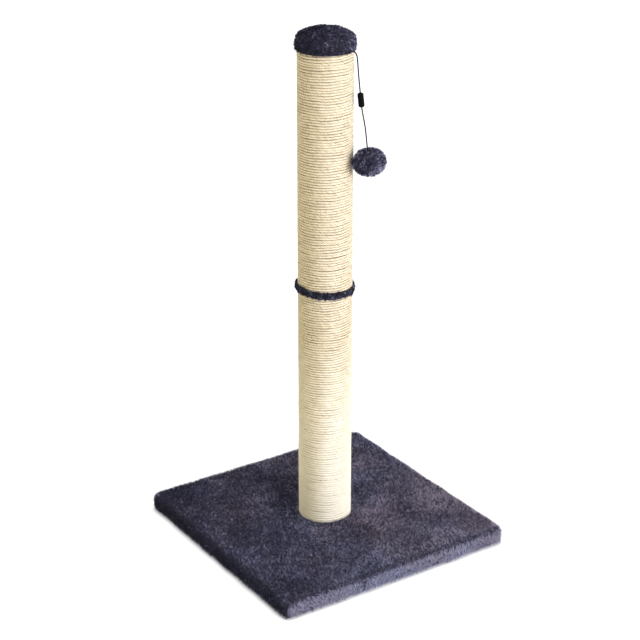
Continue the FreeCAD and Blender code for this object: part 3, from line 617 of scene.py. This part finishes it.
def strands(name, paths, radii, material, tones_and_painted_light=None):
    """Thin fibres, each a row of points; they are drawn, and are not part of the exported meshes."""
    count, steps = paths.shape[:2]
    curves = bpy.data.hair_curves.new(name)
    curves.add_curves([steps] * count)
    curves.attributes["position"].data.foreach_set("vector", paths.astype(np.float32).ravel())
    radius = curves.attributes.get("radius") or curves.attributes.new("radius", "FLOAT", "POINT")
    radius.data.foreach_set("value", radii.astype(np.float32).ravel())
    if tones_and_painted_light is not None:
        tone = curves.attributes.new("tone", "FLOAT", "CURVE")
        tone.data.foreach_set("value", tones_and_painted_light.astype(np.float32))
    curves.materials.append(material)
    return placed(name, curves)


TUFT_CONTRAST = 0.28  # spread of the tufts' tones, where 0 is the darkest navy and 1 the palest tip
FIBRE_CONTRAST = 0.10  # the same from one fibre to the next
TUFT_WANDER = 0.38  # spread of the tufts' own leans, in parts of a fibre's length
FIBRE_WANDER = 0.16
FIBRE_ARCH = 0.14  # how far a fibre's middle stands off the line from root to tip, in parts of its length
ROOT_ARCH = 0.05
FIBRE_TAPER = np.array([1.0, 0.95, 0.75, 0.3])
LOWEST_TIP = 0.0002  # above the ground


def fur(name, obj, body, per_square_metre, length, thickness, tuft, lean, wanted, tone, seed):
    """A pile of fibres drawn together in tufts, each with its own lean and tone; the tone function gives the
    painted light and shade of each place.
    """
    roots, out, random = scattered(obj, per_square_metre, wanted, seed)
    centres = roots[random.random(len(roots)) < 1 / (per_square_metre * tuft * tuft)]
    tree = KDTree(len(centres))
    for i, centre in enumerate(centres):
        tree.insert(centre, i)
    tree.balance()
    nearest = np.array([tree.find(root)[1] for root in roots])
    own_way = random.normal(size=centres.shape) * TUFT_WANDER
    own_tone = random.normal(size=len(centres)) * TUFT_CONTRAST
    own_length = random.uniform(0.78, 1.12, (len(centres), 1))
    brushed = lean(roots, out) + own_way[nearest]
    brushed -= out * (brushed * out).sum(axis=1, keepdims=True)
    long = length * own_length[nearest] * random.uniform(0.8, 1.1, (len(roots), 1))
    direction = out + brushed + random.normal(size=roots.shape) * FIBRE_WANDER
    direction /= np.linalg.norm(direction, axis=1, keepdims=True)
    tips = roots + direction * long
    gathered = centres[nearest] + direction * long
    pull = random.uniform(0.45, 0.92, (len(roots), 1))
    tips = tips * (1 - pull) + gathered * pull
    tips[:, 2] = np.maximum(tips[:, 2], LOWEST_TIP)
    middles = (roots + tips) / 2 + out * long * FIBRE_ARCH
    paths = np.stack([roots, (roots + middles) / 2 + out * long * ROOT_ARCH, middles, tips], axis=1)
    radii = np.tile(FIBRE_TAPER * thickness / 2, (len(roots), 1))
    tones_and_painted_light = tone(roots, out) + own_tone[nearest] + random.normal(size=len(roots)) * FIBRE_CONTRAST
    made = strands(name, paths, radii, PLUSH_FIBRE, tones_and_painted_light)
    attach(made, body)


def everywhere(places, facing):
    return np.ones(len(places))


# --- Toy ---

def toy_cords():
    """The elastic from the cap to the connector and on to the ball, at its real length."""
    middle = toy_place(*CONNECTOR_PLACE)
    down = leaning(CONNECTOR_LEAN)
    upper = [toy_place(*point) for point in TAIL_ROUTE + LEAD_ROUTE + UPPER_ROUTE]
    line = spline_points(upper + [middle - down * CONNECTOR_KNOT])
    swing_out = toy_place(*LEAD_ROUTE[0])
    swing_side = toy_place(*LEAD_ROUTE[-1])
    between = (swing_out + swing_side) / 2
    split = min(range(len(line)), key=lambda i: (line[i] - between).length)
    tail = tube("toy_cord_at_cap", line[:split + 1], TOY_SIDE, CORD_DIAMETER / 2, CORD)
    hanging = tube("toy_cord_hanging", line[split:], TOY_SIDE, CORD_DIAMETER / 2, CORD)
    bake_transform(tail)
    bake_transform(hanging)
    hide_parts("toy_cord_tail", "toy_cord_lead")
    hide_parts("toy_cord_upper")

    ball_down = leaning(BALL_LEAN)
    knot = BALL_CENTRE - ball_down * BALL_KNOT_HEIGHT
    lower = [middle + down * CONNECTOR_KNOT] + [toy_place(*point) for point in LOWER_ROUTE] + [knot]
    line = spline_points(lower)
    swinging = tube("toy_cord_to_ball", line, TOY_SIDE, CORD_DIAMETER / 2, CORD)
    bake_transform(swinging)
    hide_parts("toy_cord_lower")


# --- Base ---

BASE_HALF = BASE_HIGH.x
BASE_EDGE_RADIUS = 0.0071
BASE_CORNER_RADIUS = 0.0058
BASE_UNDER_RADIUS = 0.003
BASE_HEM_HALF = 0.160  # to the hem's inner edge
BASE_ROWS = 258  # of points across the top
BASE_HEM_EDGE = ((0.0004, 0.0009), (0.0, 0.0024))  # in and up, over the hem's cut edge
PILE_SWELL = 0.0006  # how far the pile's ground stands out past the cover's outline
PARTING_AT = -0.064  # along the front's right-hand side
PARTING_WIDTH = 0.006


def rounded_square(half, radius, per_side):
    """Points round a square with rounded corners, from the middle of one corner, the same on each side."""
    quarter = math.pi / 4 * radius
    straight = 2 * (half - radius)
    travelled = np.linspace(0, 2 * quarter + straight, per_side, endpoint=False)
    late = travelled > quarter + straight
    on_side = (travelled > quarter) & ~late
    angle = np.where(late, (travelled - quarter - straight) / radius, (travelled - quarter) / radius)
    angle = np.where(on_side, 0, angle)
    centre = np.where(late, half - radius, radius - half)
    x = half - radius + radius * np.cos(angle)
    y = np.where(on_side, radius - half + travelled - quarter, centre + radius * np.sin(angle))
    side = np.stack([x, y], axis=1)
    turns = [side]
    for _ in range(3):
        side = np.stack([-side[:, 1], side[:, 0]], axis=1)
        turns.append(side)
    return np.concatenate(turns)


def base_profile():
    """How far in from the outline, and how high, each ring lies from the top's edge to the hem's."""
    top = BASE_HIGH.z
    over = [(BASE_EDGE_RADIUS * (1 - math.sin(a)), top - BASE_EDGE_RADIUS * (1 - math.cos(a)))
            for a in np.linspace(0, math.pi / 2, 9)[1:]]
    side = [(0.0, z) for z in np.linspace(top - BASE_EDGE_RADIUS, BASE_UNDER_RADIUS, 12)[1:]]
    under = [(BASE_UNDER_RADIUS * (1 - math.cos(a)), BASE_UNDER_RADIUS * (1 - math.sin(a)))
             for a in np.linspace(0, math.pi / 2, 4)[1:]]
    hem_width = BASE_HALF - BASE_HEM_HALF
    hem = [(inset, 0.0) for inset in np.linspace(BASE_UNDER_RADIUS, hem_width, 12)[1:]]
    edge = [(hem_width + further, height) for further, height in BASE_HEM_EDGE]
    return over + side + under + hem + edge


def base_cover():
    """The plush over the board: one sheet, stretched over the top and sides and folded under."""
    flat_half = BASE_HALF - BASE_EDGE_RADIUS
    n = BASE_ROWS
    line = np.linspace(-flat_half, flat_half, n)
    x, y = np.meshgrid(line, line, indexing="ij")
    top = np.stack([x.ravel(), y.ravel(), np.full(n * n, BASE_HIGH.z)], axis=1)
    index = np.arange(n * n).reshape(n, n)
    edge = np.concatenate([index[-1, :-1], index[::-1, -1][:-1], index[0, ::-1][:-1], index[:-1, 0]])
    rings = []
    for inset, height in base_profile():
        ring = rounded_square(BASE_HALF - inset, max(BASE_CORNER_RADIUS - inset, 0.0006), n - 1)
        rings.append(np.column_stack([ring, np.full(len(ring), height)]))
    around = 4 * (n - 1)
    ring_faces = quads(len(rings), around, wrap=True)[:, ::-1] + n * n
    first = np.arange(around)
    following = (first + 1) % around
    joining = np.stack([edge[first], first + n * n, following + n * n, edge[following]], axis=1)
    faces = np.concatenate([quads(n, n)[:, ::-1], joining, ring_faces])
    cover = piece("base_cover", np.concatenate([top, *rings]), faces, PLUSH)
    shape_base(cover)
    return cover


def shape_base(cover):
    """Tufts, a slightly wavy edge and a parting in one side."""
    places = vertices(cover)
    x, y, z = places.T
    upper = smooth_step(z, 0.001, 0.004)
    side = smooth_step(np.maximum(abs(x), abs(y)), BASE_HALF - 0.004, BASE_HALF - 0.001)
    depth = PILE_SWELL + 0.0005 * ripple(places, 0.0033, 11, 40) + 0.0003 * ripple(places, 0.012, 12)
    depth += side * 0.0008 * ripple(places, 0.055, 13)
    depth += (1 - side) * 0.0005 * ripple(places, 0.080, 14)
    parting = hump(x, PARTING_AT, PARTING_WIDTH) * (y < 0)
    depth -= side * 0.0006 * parting
    displace(cover, depth * upper)


def in_parting(roots, width):
    """1 in the parting of the front's pile, down to 0 beside it."""
    return hump(roots[:, 0], PARTING_AT, width) * (roots[:, 1] < -BASE_HALF + 0.01)


def base_lean(roots, out):
    """The way the base's pile was brushed: it wanders in patches, and lies outwards round the post."""
    angle = 1.1 * ripple(roots, 0.16, 21) + 0.7 * ripple(roots, 0.05, 22) - 2.2
    strength = 0.55 + 0.22 * ripple(roots, 0.07, 23)
    lean = pointing(angle, -0.9) * strength[:, None]
    radius = from_axis(roots)
    near = hump(radius, POST_RADIUS, 0.008)[:, None]
    outward = np.stack([roots[:, 0], roots[:, 1], np.zeros(len(roots))], axis=1) / radius[:, None]
    lean = lean * (1 - near) + outward * near
    lean[:, 0] += np.sign(roots[:, 0] - PARTING_AT) * in_parting(roots, PARTING_WIDTH) * 1.6
    return lean


def base_tone_and_painted_light(roots, out):
    """Painted light and shade on the pile, with random mottling: lighter towards the right and on the -y
    side, which face the light; darker on the -x side, which faces away from it, along the rounded edge above
    the -y side, and in the parting.
    """
    tone = 0.57 + 0.07 * ripple(roots, 0.11, 24) + 0.05 * ripple(roots, 0.035, 25)
    tone += 0.90 * rightness(roots)
    tone += 0.44 * smooth_step(-out[:, 1], 0.80, 0.95) - 0.56 * smooth_step(-out[:, 0], 0.5, 0.85)
    tone -= 0.20 * hump(-out[:, 1], 0.5, 0.22)
    return tone - 0.30 * in_parting(roots, 0.007)


def base_wanted(places, facing):
    clear = from_axis(places) > POST_RADIUS + 0.0002
    return clear * (places[:, 2] > 0.0018) * 1.0


def base():
    cover = base_cover()
    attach(cover, "root")
    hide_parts("base_plush")
    fur("base_pile", cover, "root", per_square_metre=1.5e6, length=0.0046, thickness=0.00018, tuft=0.0020,
        lean=base_lean, wanted=base_wanted, tone=base_tone_and_painted_light, seed=31)


# --- Posts ---

ROPE_RADIUS = (POST_RADIUS - ROPE_INNER_RADIUS) / 2
ROPE_PITCH = 0.00404
STRAND_LAY = 0.0135  # length of rope in which a strand goes once round it
STRAND_SIDES = 5
ROPE_STEP = 0.0017
ROPE_SQUEEZE = 1.07  # height of a turn's section over its pitch: the turns press into each other
STRAND_DEPTH = 0.20  # of the grooves between strands, in parts of the rope's radius
FIBRE_MARGIN = 0.004  # of each post's ends that is left without loose fibres and flecks


def rope_line(foot, top, seed):
    """The middle of a wound rope, with how far along the rope and which way out each point is."""
    turns = round((top - foot) / ROPE_PITCH)
    pitch = (top - foot) / turns
    centre_radius = POST_RADIUS - ROPE_RADIUS
    turn_length = math.hypot(2 * math.pi * centre_radius, pitch)
    steps = round((turns + 1) * turn_length / ROPE_STEP)
    travelled = np.linspace(-0.5, turns + 0.5, steps + 1)
    angle = 2 * math.pi * travelled
    along = (travelled + 0.5) * turn_length
    height = foot + pitch * travelled
    line = np.stack([centre_radius * np.cos(angle), centre_radius * np.sin(angle), height], axis=1)
    lift = pitch / 2 + 0.00022 * ripple(along[:, None], 0.19, seed)
    lift += 0.00030 * ripple(line, 0.030, seed + 1)
    line[:, 2] += lift
    sway = 0.00010 * ripple(along[:, None], 0.11, seed + 2)
    sway += 0.00012 * ripple(line, 0.05, seed + 3)
    outward = pointing(angle)
    return line + outward * sway[:, None], along, outward


def wound_rope(name, replaced, foot, top, seed):
    """Three-strand rope wound turn against turn, with small differences in its thickness and height."""
    line, along, outward = rope_line(foot, top, seed)
    thick = 1 + 0.05 * ripple(along[:, None], 0.060, seed + 4)
    sides = STRANDS * STRAND_SIDES
    section = np.arange(sides) * 2 * math.pi / sides
    ridge = ROPE_RADIUS * (1 - STRAND_DEPTH + STRAND_DEPTH * np.abs(np.cos(STRANDS * section / 2)) ** 0.7)
    twist = section[None, :] - along[:, None] * 2 * math.pi / STRAND_LAY
    reach = ridge[None, :] * thick[:, None]
    rising = np.array([0.0, 0.0, 1.0])
    points = (line[:, None, :] + (reach * np.cos(twist))[:, :, None] * outward[:, None, :]
              + (reach * np.sin(twist))[:, :, None] * rising * ROPE_SQUEEZE)
    points[:, :, 2] = np.clip(points[:, :, 2], foot, top)
    points = points.reshape(-1, 3)
    faces = quads(len(line), sides, wrap=True)
    heights = points[faces, 2]
    flat_cut = (heights.max(axis=1) <= foot + 1e-7) | (heights.min(axis=1) >= top - 1e-7)
    kept = faces[~flat_cut][:, ::-1]
    rope = piece(name, points, kept, SISAL_ROPE)
    around = np.tile(np.arange(sides) / sides, len(line))
    lengthwise_uv(rope, np.repeat(along, sides), around, four_sided=len(kept))
    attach(rope, "root")
    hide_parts(replaced)


def stray_fibres(name, foot, top, count, seed):
    """Loose ends of sisal that stand off the rope."""
    random = np.random.default_rng(seed)
    angle = random.uniform(0, 2 * math.pi, count)
    height = random.uniform(foot + FIBRE_MARGIN, top - FIBRE_MARGIN, count)
    out = pointing(angle)
    side = round_the_post(angle)
    root = out * (POST_RADIUS - 0.0006) + np.stack([0 * height, 0 * height, height], axis=1)
    long = random.gamma(2.2, 0.0016, (count, 1))
    along = side * random.choice([-1.0, 1.0], (count, 1)) + out * random.uniform(0.1, 0.8, (count, 1))
    along[:, 2] += random.normal(0, 0.25, count)
    along /= np.linalg.norm(along, axis=1, keepdims=True)
    curl = out * random.uniform(-0.25, 0.35, (count, 1)) + random.normal(0, 0.15, (count, 3))
    steps = np.linspace(0, 1, 5)[None, :, None]
    paths = root[:, None, :] + along[:, None, :] * long[:, None, :] * steps
    paths = paths + (curl * long)[:, None, :] * steps ** 2
    radii = np.tile(np.linspace(0.000085, 0.00003, 5), (count, 1))
    made = strands(name, paths, radii, SISAL_FIBRE)
    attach(made, "root")


def bark_flecks(name, foot, top, count, seed):
    """Dark flecks of bark, spun in with the sisal, that lie along the turns."""
    random = np.random.default_rng(seed)
    height = random.uniform(foot + FIBRE_MARGIN, top - FIBRE_MARGIN, count)
    angle = random.uniform(0, 2 * math.pi, count)
    long = random.uniform(0.002, 0.006, count) / POST_RADIUS
    slope = random.normal(0, 0.30, count) * POST_RADIUS
    steps = np.linspace(-0.5, 0.5, 5)[None, :] * long[:, None]
    turned = angle[:, None] + steps
    reach = POST_RADIUS - 0.0003
    rising = height[:, None] + slope[:, None] * steps
    paths = np.stack([reach * np.cos(turned), reach * np.sin(turned), rising], axis=2)
    widths = np.array([0.2, 0.8, 1.0, 0.7, 0.2])[None, :] * random.uniform(0.00030, 0.00060, (count, 1))
    made = strands(name, paths, widths, BARK)
    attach(made, "root")


def posts():
    wound_rope("lower_rope_wound", "lower_rope", POST_FOOT, POST_JOINT, 41)
    wound_rope("upper_rope_wound", "upper_rope", POST_JOINT, CAP_UNDERSIDE, 51)
    stray_fibres("lower_loose_fibres", POST_FOOT, POST_JOINT, 5200, 61)
    stray_fibres("upper_loose_fibres", POST_JOINT, CAP_UNDERSIDE, 4800, 62)
    bark_flecks("lower_bark_flecks", POST_FOOT, POST_JOINT, 30, 63)
    bark_flecks("upper_bark_flecks", POST_JOINT, CAP_UNDERSIDE, 20, 64)


# --- Strip round the joint ---

RING_TILT = math.radians(2.8)
RING_LOW_SIDE = math.radians(-33.7)
RING_SECTION_RADIUS = 0.0058
RING_STANDS_OUT = 0.0030


def ring_profile():
    """The strip's section: a round back from the rope's surface out and back to it."""
    centre = POST_RADIUS + RING_STANDS_OUT - RING_SECTION_RADIUS
    reach = math.acos((POST_RADIUS - centre) / RING_SECTION_RADIUS)
    angles = np.linspace(-reach, reach, 15)
    back = [(centre + RING_SECTION_RADIUS * math.cos(a), RING_SECTION_RADIUS * math.sin(a)) for a in angles]
    inner = POST_RADIUS - 0.0003
    top = back[-1][1]
    return back + [(inner, top * share) for share in (0.8, 0.4, 0.0, -0.4, -0.8)]


def seam_strip():
    """The plush strip round the joint: a tilted ring with a short dense pile and ragged tufts."""
    profile = np.array(ring_profile())
    around = 360
    angle = np.linspace(0, 2 * math.pi, around, endpoint=False)
    rows = []
    for a in angle:
        drop = -math.tan(RING_TILT) * POST_RADIUS * math.cos(a - RING_LOW_SIDE)
        rows.append(np.stack([profile[:, 0] * math.cos(a), profile[:, 0] * math.sin(a),
                              POST_JOINT + drop + profile[:, 1]], axis=1))
    points = np.concatenate(rows)
    faces = quads(around + 1, len(profile), wrap=True) % (around * len(profile))
    strip = piece("seam_strip", points, faces[:, ::-1], PLUSH)
    places = vertices(strip)
    outside = from_axis(places) > POST_RADIUS + 0.0002
    depth = 0.00040 * ripple(places, 0.0034, 71, 40) + 0.00050 * ripple(places, 0.014, 72)
    displace(strip, depth * outside)
    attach(strip, "root")
    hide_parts("seam_ring")
    fur("seam_strip_pile", strip, "root", per_square_metre=3.6e6, length=0.0022, thickness=0.00020,
        tuft=0.0028, lean=strip_lean, wanted=strip_wanted, tone=strip_tone_and_painted_light, seed=73)
    fur("seam_strip_tufts", strip, "root", per_square_metre=1.6e6, length=0.0040, thickness=0.00024,
        tuft=0.0030, lean=tuft_lean, wanted=in_clumps, tone=strip_tone_and_painted_light, seed=77)


def strip_wanted(places, facing):
    return (from_axis(places) > POST_RADIUS + 0.0004) * 1.0


def in_clumps(places, facing):
    return strip_wanted(places, facing) * (ripple(places, 0.008, 79) > 0.3)


def strip_tone_and_painted_light(roots, out):
    # Painted light on the side that faces the light, to the right, painted shade on the left, and mottled at
    # random.
    return 0.04 + 0.12 * ripple(roots, 0.02, 76) + 0.24 * rightness(out)


def tuft_lean(roots, out):
    """The strip's longer tufts lie up or down, over the rope next to it."""
    return np.array([[0, 0, 1.4]]) * np.sign(out[:, 2])[:, None]


def strip_lean(roots, out):
    angle = np.arctan2(roots[:, 1], roots[:, 0])
    level = round_the_post(angle) * (0.8 * ripple(roots, 0.03, 74))[:, None]
    return level + np.array([[0, 0, 1.0]]) * (0.6 * ripple(roots, 0.025, 75))[:, None]


# --- Cap ---

CAP_HEM_RADIUS = 0.020
CAP_SIDE_TOP = 0.0138  # height of the upright side's top above the cap's underside
CAP_SHOULDER_RADIUS = 0.0129
CAP_DOME_RADIUS = 0.0924
CAP_UNDER_RADIUS = 0.0037
CAP_PILE_INSET = 0.0029  # the woven ground's depth below the outline that the pile fills
CAP_BACKING = 0.0034  # thickness of the ground and the roots of the pile
CAP_AROUND = 320


def cap_profile(inset, hem_height):
    """Radius and height above the cap's underside, from the middle of the crown to the hem's edge."""
    radius = CAP_RADIUS - inset
    dome = CAP_DOME_RADIUS - inset
    shoulder = CAP_SHOULDER_RADIUS - inset
    under = max(CAP_UNDER_RADIUS - inset, 0.0008)
    shoulder_centre = radius - shoulder
    drop = math.sqrt((dome - shoulder) ** 2 - shoulder_centre ** 2)
    lean = math.atan2(shoulder_centre, drop)
    centre = CAP_SIDE_TOP - drop
    crown = [(dome * math.sin(a), centre + dome * math.cos(a)) for a in np.linspace(0.0, lean, 44)[1:]]
    rounded = [(shoulder_centre + shoulder * math.sin(a), CAP_SIDE_TOP + shoulder * math.cos(a))
               for a in np.linspace(lean, math.pi / 2, 16)[1:]]
    side = [(radius, z) for z in np.linspace(CAP_SIDE_TOP, hem_height + under, 11)[1:]]
    turned = [(radius - under * (1 - math.cos(a)), hem_height + under * (1 - math.sin(a)))
              for a in np.linspace(0, math.pi / 2, 8)[1:]]
    hem = [(r, hem_height) for r in np.linspace(radius - under, CAP_HEM_RADIUS, 16)[1:]]
    return crown + rounded + side + turned + hem, centre + dome


def cap():
    """The plush over the crown, drawn in under the rim in small gathers: its face, and its back inside."""
    face, top = cap_profile(CAP_PILE_INSET, 0.0)
    back, back_top = cap_profile(CAP_PILE_INSET + CAP_BACKING, CAP_HEM_THICKNESS)
    angle = np.linspace(0, 2 * math.pi, CAP_AROUND, endpoint=False)
    rings = [np.stack([r * np.cos(angle), r * np.sin(angle), np.full(CAP_AROUND, CAP_UNDERSIDE + z)], axis=1)
             for r, z in face + back[::-1]]
    middle = len(rings) * CAP_AROUND
    points = np.concatenate(rings + [[[0, 0, CAP_UNDERSIDE + top], [0, 0, CAP_UNDERSIDE + back_top]]])
    first = np.arange(CAP_AROUND)
    following = (first + 1) % CAP_AROUND
    last = middle - CAP_AROUND
    faces = quads(len(rings), CAP_AROUND, wrap=True)[:, ::-1].tolist()
    faces += [(middle, a, b) for a, b in zip(first, following)]
    faces += [(middle + 1, b, a) for a, b in zip(last + first, last + following)]
    cover = piece("cap_cover", points, faces, PLUSH)
    shape_cap(cover)
    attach(cover, "root")
    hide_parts("cap_plush")
    fur("cap_pile", cover, "root", per_square_metre=2.0e6, length=0.0042, thickness=0.00019, tuft=0.0023,
        lean=cap_lean, wanted=cap_wanted, tone=cap_tone_and_painted_light, seed=83)


def shape_cap(cover):
    """Tufts, and the gathers low on the side."""
    places = vertices(cover)
    height = places[:, 2] - CAP_UNDERSIDE
    upper = smooth_step(height, 0.0005, 0.004) * on_cap_face(places, normals(cover))
    azimuth = np.arctan2(places[:, 1], places[:, 0])
    low = 1 - smooth_step(height, 0.004, 0.012)
    gathers = np.sin(azimuth * 26 + 1.5 * np.sin(azimuth * 5)) * low
    depth = 0.00045 * ripple(places, 0.0042, 81, 40) + 0.0005 * ripple(places, 0.016, 82)
    depth += 0.00045 * gathers
    displace(cover, depth * upper)


def cap_wanted(places, facing):
    return (places[:, 2] > CAP_UNDERSIDE + 0.0006) * on_cap_face(places, facing)


def cap_tone_and_painted_light(roots, out):
    """Painted shade under the rim and on the left, painted light on the right, which faces the light, and
    mottled at random.
    """
    tone = 0.19 + 0.08 * ripple(roots, 0.022, 86) + 0.24 * rightness(out)
    return tone - 0.16 * (1 - smooth_step(roots[:, 2] - CAP_UNDERSIDE, 0.003, 0.010))


def on_cap_face(places, facing):
    """1 where the cover's surface looks away from the cap's middle, and 0 inside."""
    middle = np.array([0, 0, CAP_UNDERSIDE + CAP_SIDE_TOP * 0.7])
    return ((places - middle) * facing).sum(axis=1) > 0


def cap_lean(roots, out):
    angle = 1.2 * ripple(roots, 0.06, 84) - 0.6
    return pointing(angle, -0.5) * (0.55 + 0.25 * ripple(roots, 0.03, 85))[:, None]


# --- Ball ---

BALL_PILE_INSET = 0.0024  # from the pile's outline to the ground it stands on, at the side
BALL_END_INSET = 0.0031
DIMPLE_DEPTH = 0.0030  # where the cord comes out
DIMPLE_WIDTH = 0.0060
CREASE_DEPTH = 0.0012
CREASE_WIDTH = 0.0022
FILLING_REACH = np.array([0.0216, 0.0216, 0.0182])  # half sizes of what the cover is stretched over
CREASE_FACING = TO_THE_CAMERA * 0.98 - TO_THE_RIGHT * 0.10  # the side of the ball that the crease is in


def ball():
    """A stuffed plush ball, drawn in where its cord comes out."""
    bpy.ops.mesh.primitive_ico_sphere_add(subdivisions=6, radius=1.0)
    cover = bpy.context.object
    cover.name = "ball_plush"
    cover.data.name = "ball_plush"
    cover.data.shade_smooth()
    cover.data.materials.append(PLUSH)
    unit = vertices(cover)
    down = np.array(leaning(BALL_LEAN))
    side = np.array(TOY_SIDE)
    across = np.cross(down, side)
    local = np.stack([unit @ across, unit @ side, unit @ down], axis=1)
    radius = BALL_RADIUS - BALL_PILE_INSET
    half = BALL_HALF_HEIGHT - BALL_END_INSET
    local *= np.array([radius, radius, half])
    from_top = np.linalg.norm(local - np.array([0, 0, -half]), axis=1)
    local[:, 2] += DIMPLE_DEPTH * hump(from_top, 0.0, DIMPLE_WIDTH)
    places = np.array(BALL_CENTRE) + local @ np.stack([across, side, down])
    set_vertices(cover, places)
    depth = 0.0004 * ripple(places, 0.0036, 91, 40) + 0.0008 * ripple(places, 0.022, 92)
    depth -= CREASE_DEPTH * in_crease(places)
    offset = places + normals(cover) * depth[:, None] - np.array(BALL_CENTRE)
    local = np.stack([offset @ across, offset @ side, offset @ down], axis=1)
    reach = np.linalg.norm(local / FILLING_REACH, axis=1)
    offset /= np.minimum(reach, 1)[:, None]
    set_vertices(cover, np.array(BALL_CENTRE) + offset)
    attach(cover, "ball")
    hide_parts("ball_cover")
    fur("ball_pile", cover, "ball", per_square_metre=2.4e6, length=0.0038, thickness=0.00018, tuft=0.0026,
        lean=ball_lean, wanted=everywhere, tone=ball_tone_and_painted_light, seed=93)


def in_crease(places):
    """1 along the upright crease in the cover, down to 0 beside it."""
    offset = places - np.array(BALL_CENTRE)
    sideways = offset @ np.array(CREASE_FACING.cross(Vector((0, 0, 1))).normalized())
    front = smooth_step(offset @ np.array(CREASE_FACING), 0.0, 0.012)
    return hump(sideways, 0.0, CREASE_WIDTH) * front


def ball_tone_and_painted_light(roots, out):
    # Painted light on the right, which faces the light, painted shade on the left and in the crease; a
    # little darker on the upper side, and mottled at random.
    tone = 0.47 + 0.14 * ripple(roots, 0.016, 95) + 0.12 * rightness(out)
    return tone - 0.06 * out[:, 2] - 0.25 * in_crease(roots)


def ball_lean(roots, out):
    return pointing(2.0 * ripple(roots, 0.03, 94), -0.4) * 0.5


# --- Stage ---

FLOOR_SIDE = 14.0
FLOOR_DROP = 0.0004  # below the base, so that the two surfaces don't coincide
FLOOR_GLOW_IN_PAINTED_SHADOW = 0.22  # painted contact shadow: the floor's glow right beside the base, where little light comes in
FLOOR_GLOW = 0.68


def floor():
    half = FLOOR_SIDE / 2
    corners = [(x * half, y * half, -FLOOR_DROP) for x, y in ((-1, -1), (1, -1), (1, 1), (-1, 1))]
    material, tree, shader = new_material("pale_floor")
    evenly(shader, {"Base Color": (0.60, 0.60, 0.60, 1), "Emission Color": (1, 1, 1, 1)})
    evenly(shader, {"Roughness": 0.9, "Specular IOR Level": 0.0})
    # The glow drops where the base is near: a painted contact shadow.
    near = node(tree, "AmbientOcclusion", {"Distance": 0.014}).outputs["AO"]
    link(tree, span(tree, near, 0.45, 0.95, FLOOR_GLOW_IN_PAINTED_SHADOW, FLOOR_GLOW), shader, "Emission Strength")
    piece("floor", corners, [(0, 1, 2, 3)], material, smooth=False)


def softbox(name, right, forward, up, width, height, power):
    """A light aimed at the middle of the object, placed to its right and forward as the camera sees it."""
    place = TO_THE_RIGHT * right + TO_THE_CAMERA * forward + Vector((0, 0, 1)) * up
    light = bpy.data.lights.new(name, "AREA")
    light.shape = "RECTANGLE"
    light.size = width
    light.size_y = height
    light.energy = power
    lamp = placed(name, light)
    lamp.location = place
    lamp.rotation_mode = "QUATERNION"
    lamp.rotation_quaternion = (Vector((0, 0, AIM_HEIGHT)) - place).to_track_quat("-Z", "Y")


def lights():
    softbox("key", right=3.35, forward=2.50, up=1.10, width=2.4, height=2.2, power=180.0)
    softbox("left_fill", right=-1.5, forward=1.3, up=0.20, width=0.9, height=0.5, power=3.0)
    sky = bpy.data.lights.new("overhead", "SUN")
    sky.energy = 1.7
    sky.angle = math.radians(70)
    placed("overhead", sky)
    world = bpy.data.worlds.new("studio")
    world.use_nodes = True
    evenly(world.node_tree.nodes["Background"], {"Color": (1, 1, 1, 1), "Strength": 0.42})
    bpy.context.scene.world = world


def camera():
    flat = math.cos(CAMERA_ELEVATION)
    back = TO_THE_CAMERA * flat + Vector((0, 0, math.sin(CAMERA_ELEVATION)))
    data = bpy.data.cameras.new("camera")
    data.lens = CAMERA_LENS
    data.sensor_width = CAMERA_SENSOR
    seen_from = placed("camera", data)
    target = TO_THE_RIGHT * AIM_TO_THE_RIGHT + Vector((0, 0, AIM_HEIGHT))
    seen_from.location = target + back * CAMERA_DISTANCE
    seen_from.rotation_mode = "QUATERNION"
    seen_from.rotation_quaternion = (-back).to_track_quat("-Z", "Y")
    bpy.context.scene.camera = seen_from


# --- Everything ---

scene = bpy.context.scene
for start in [o for o in scene.objects if o.name in ("Cube", "Light", "Camera")]:
    bpy.data.objects.remove(start)
scene.view_settings.view_transform = "Standard"

camera()
toy_cords()
base()
posts()
seam_strip()
cap()
ball()
finish_nodes()
floor()
lights()
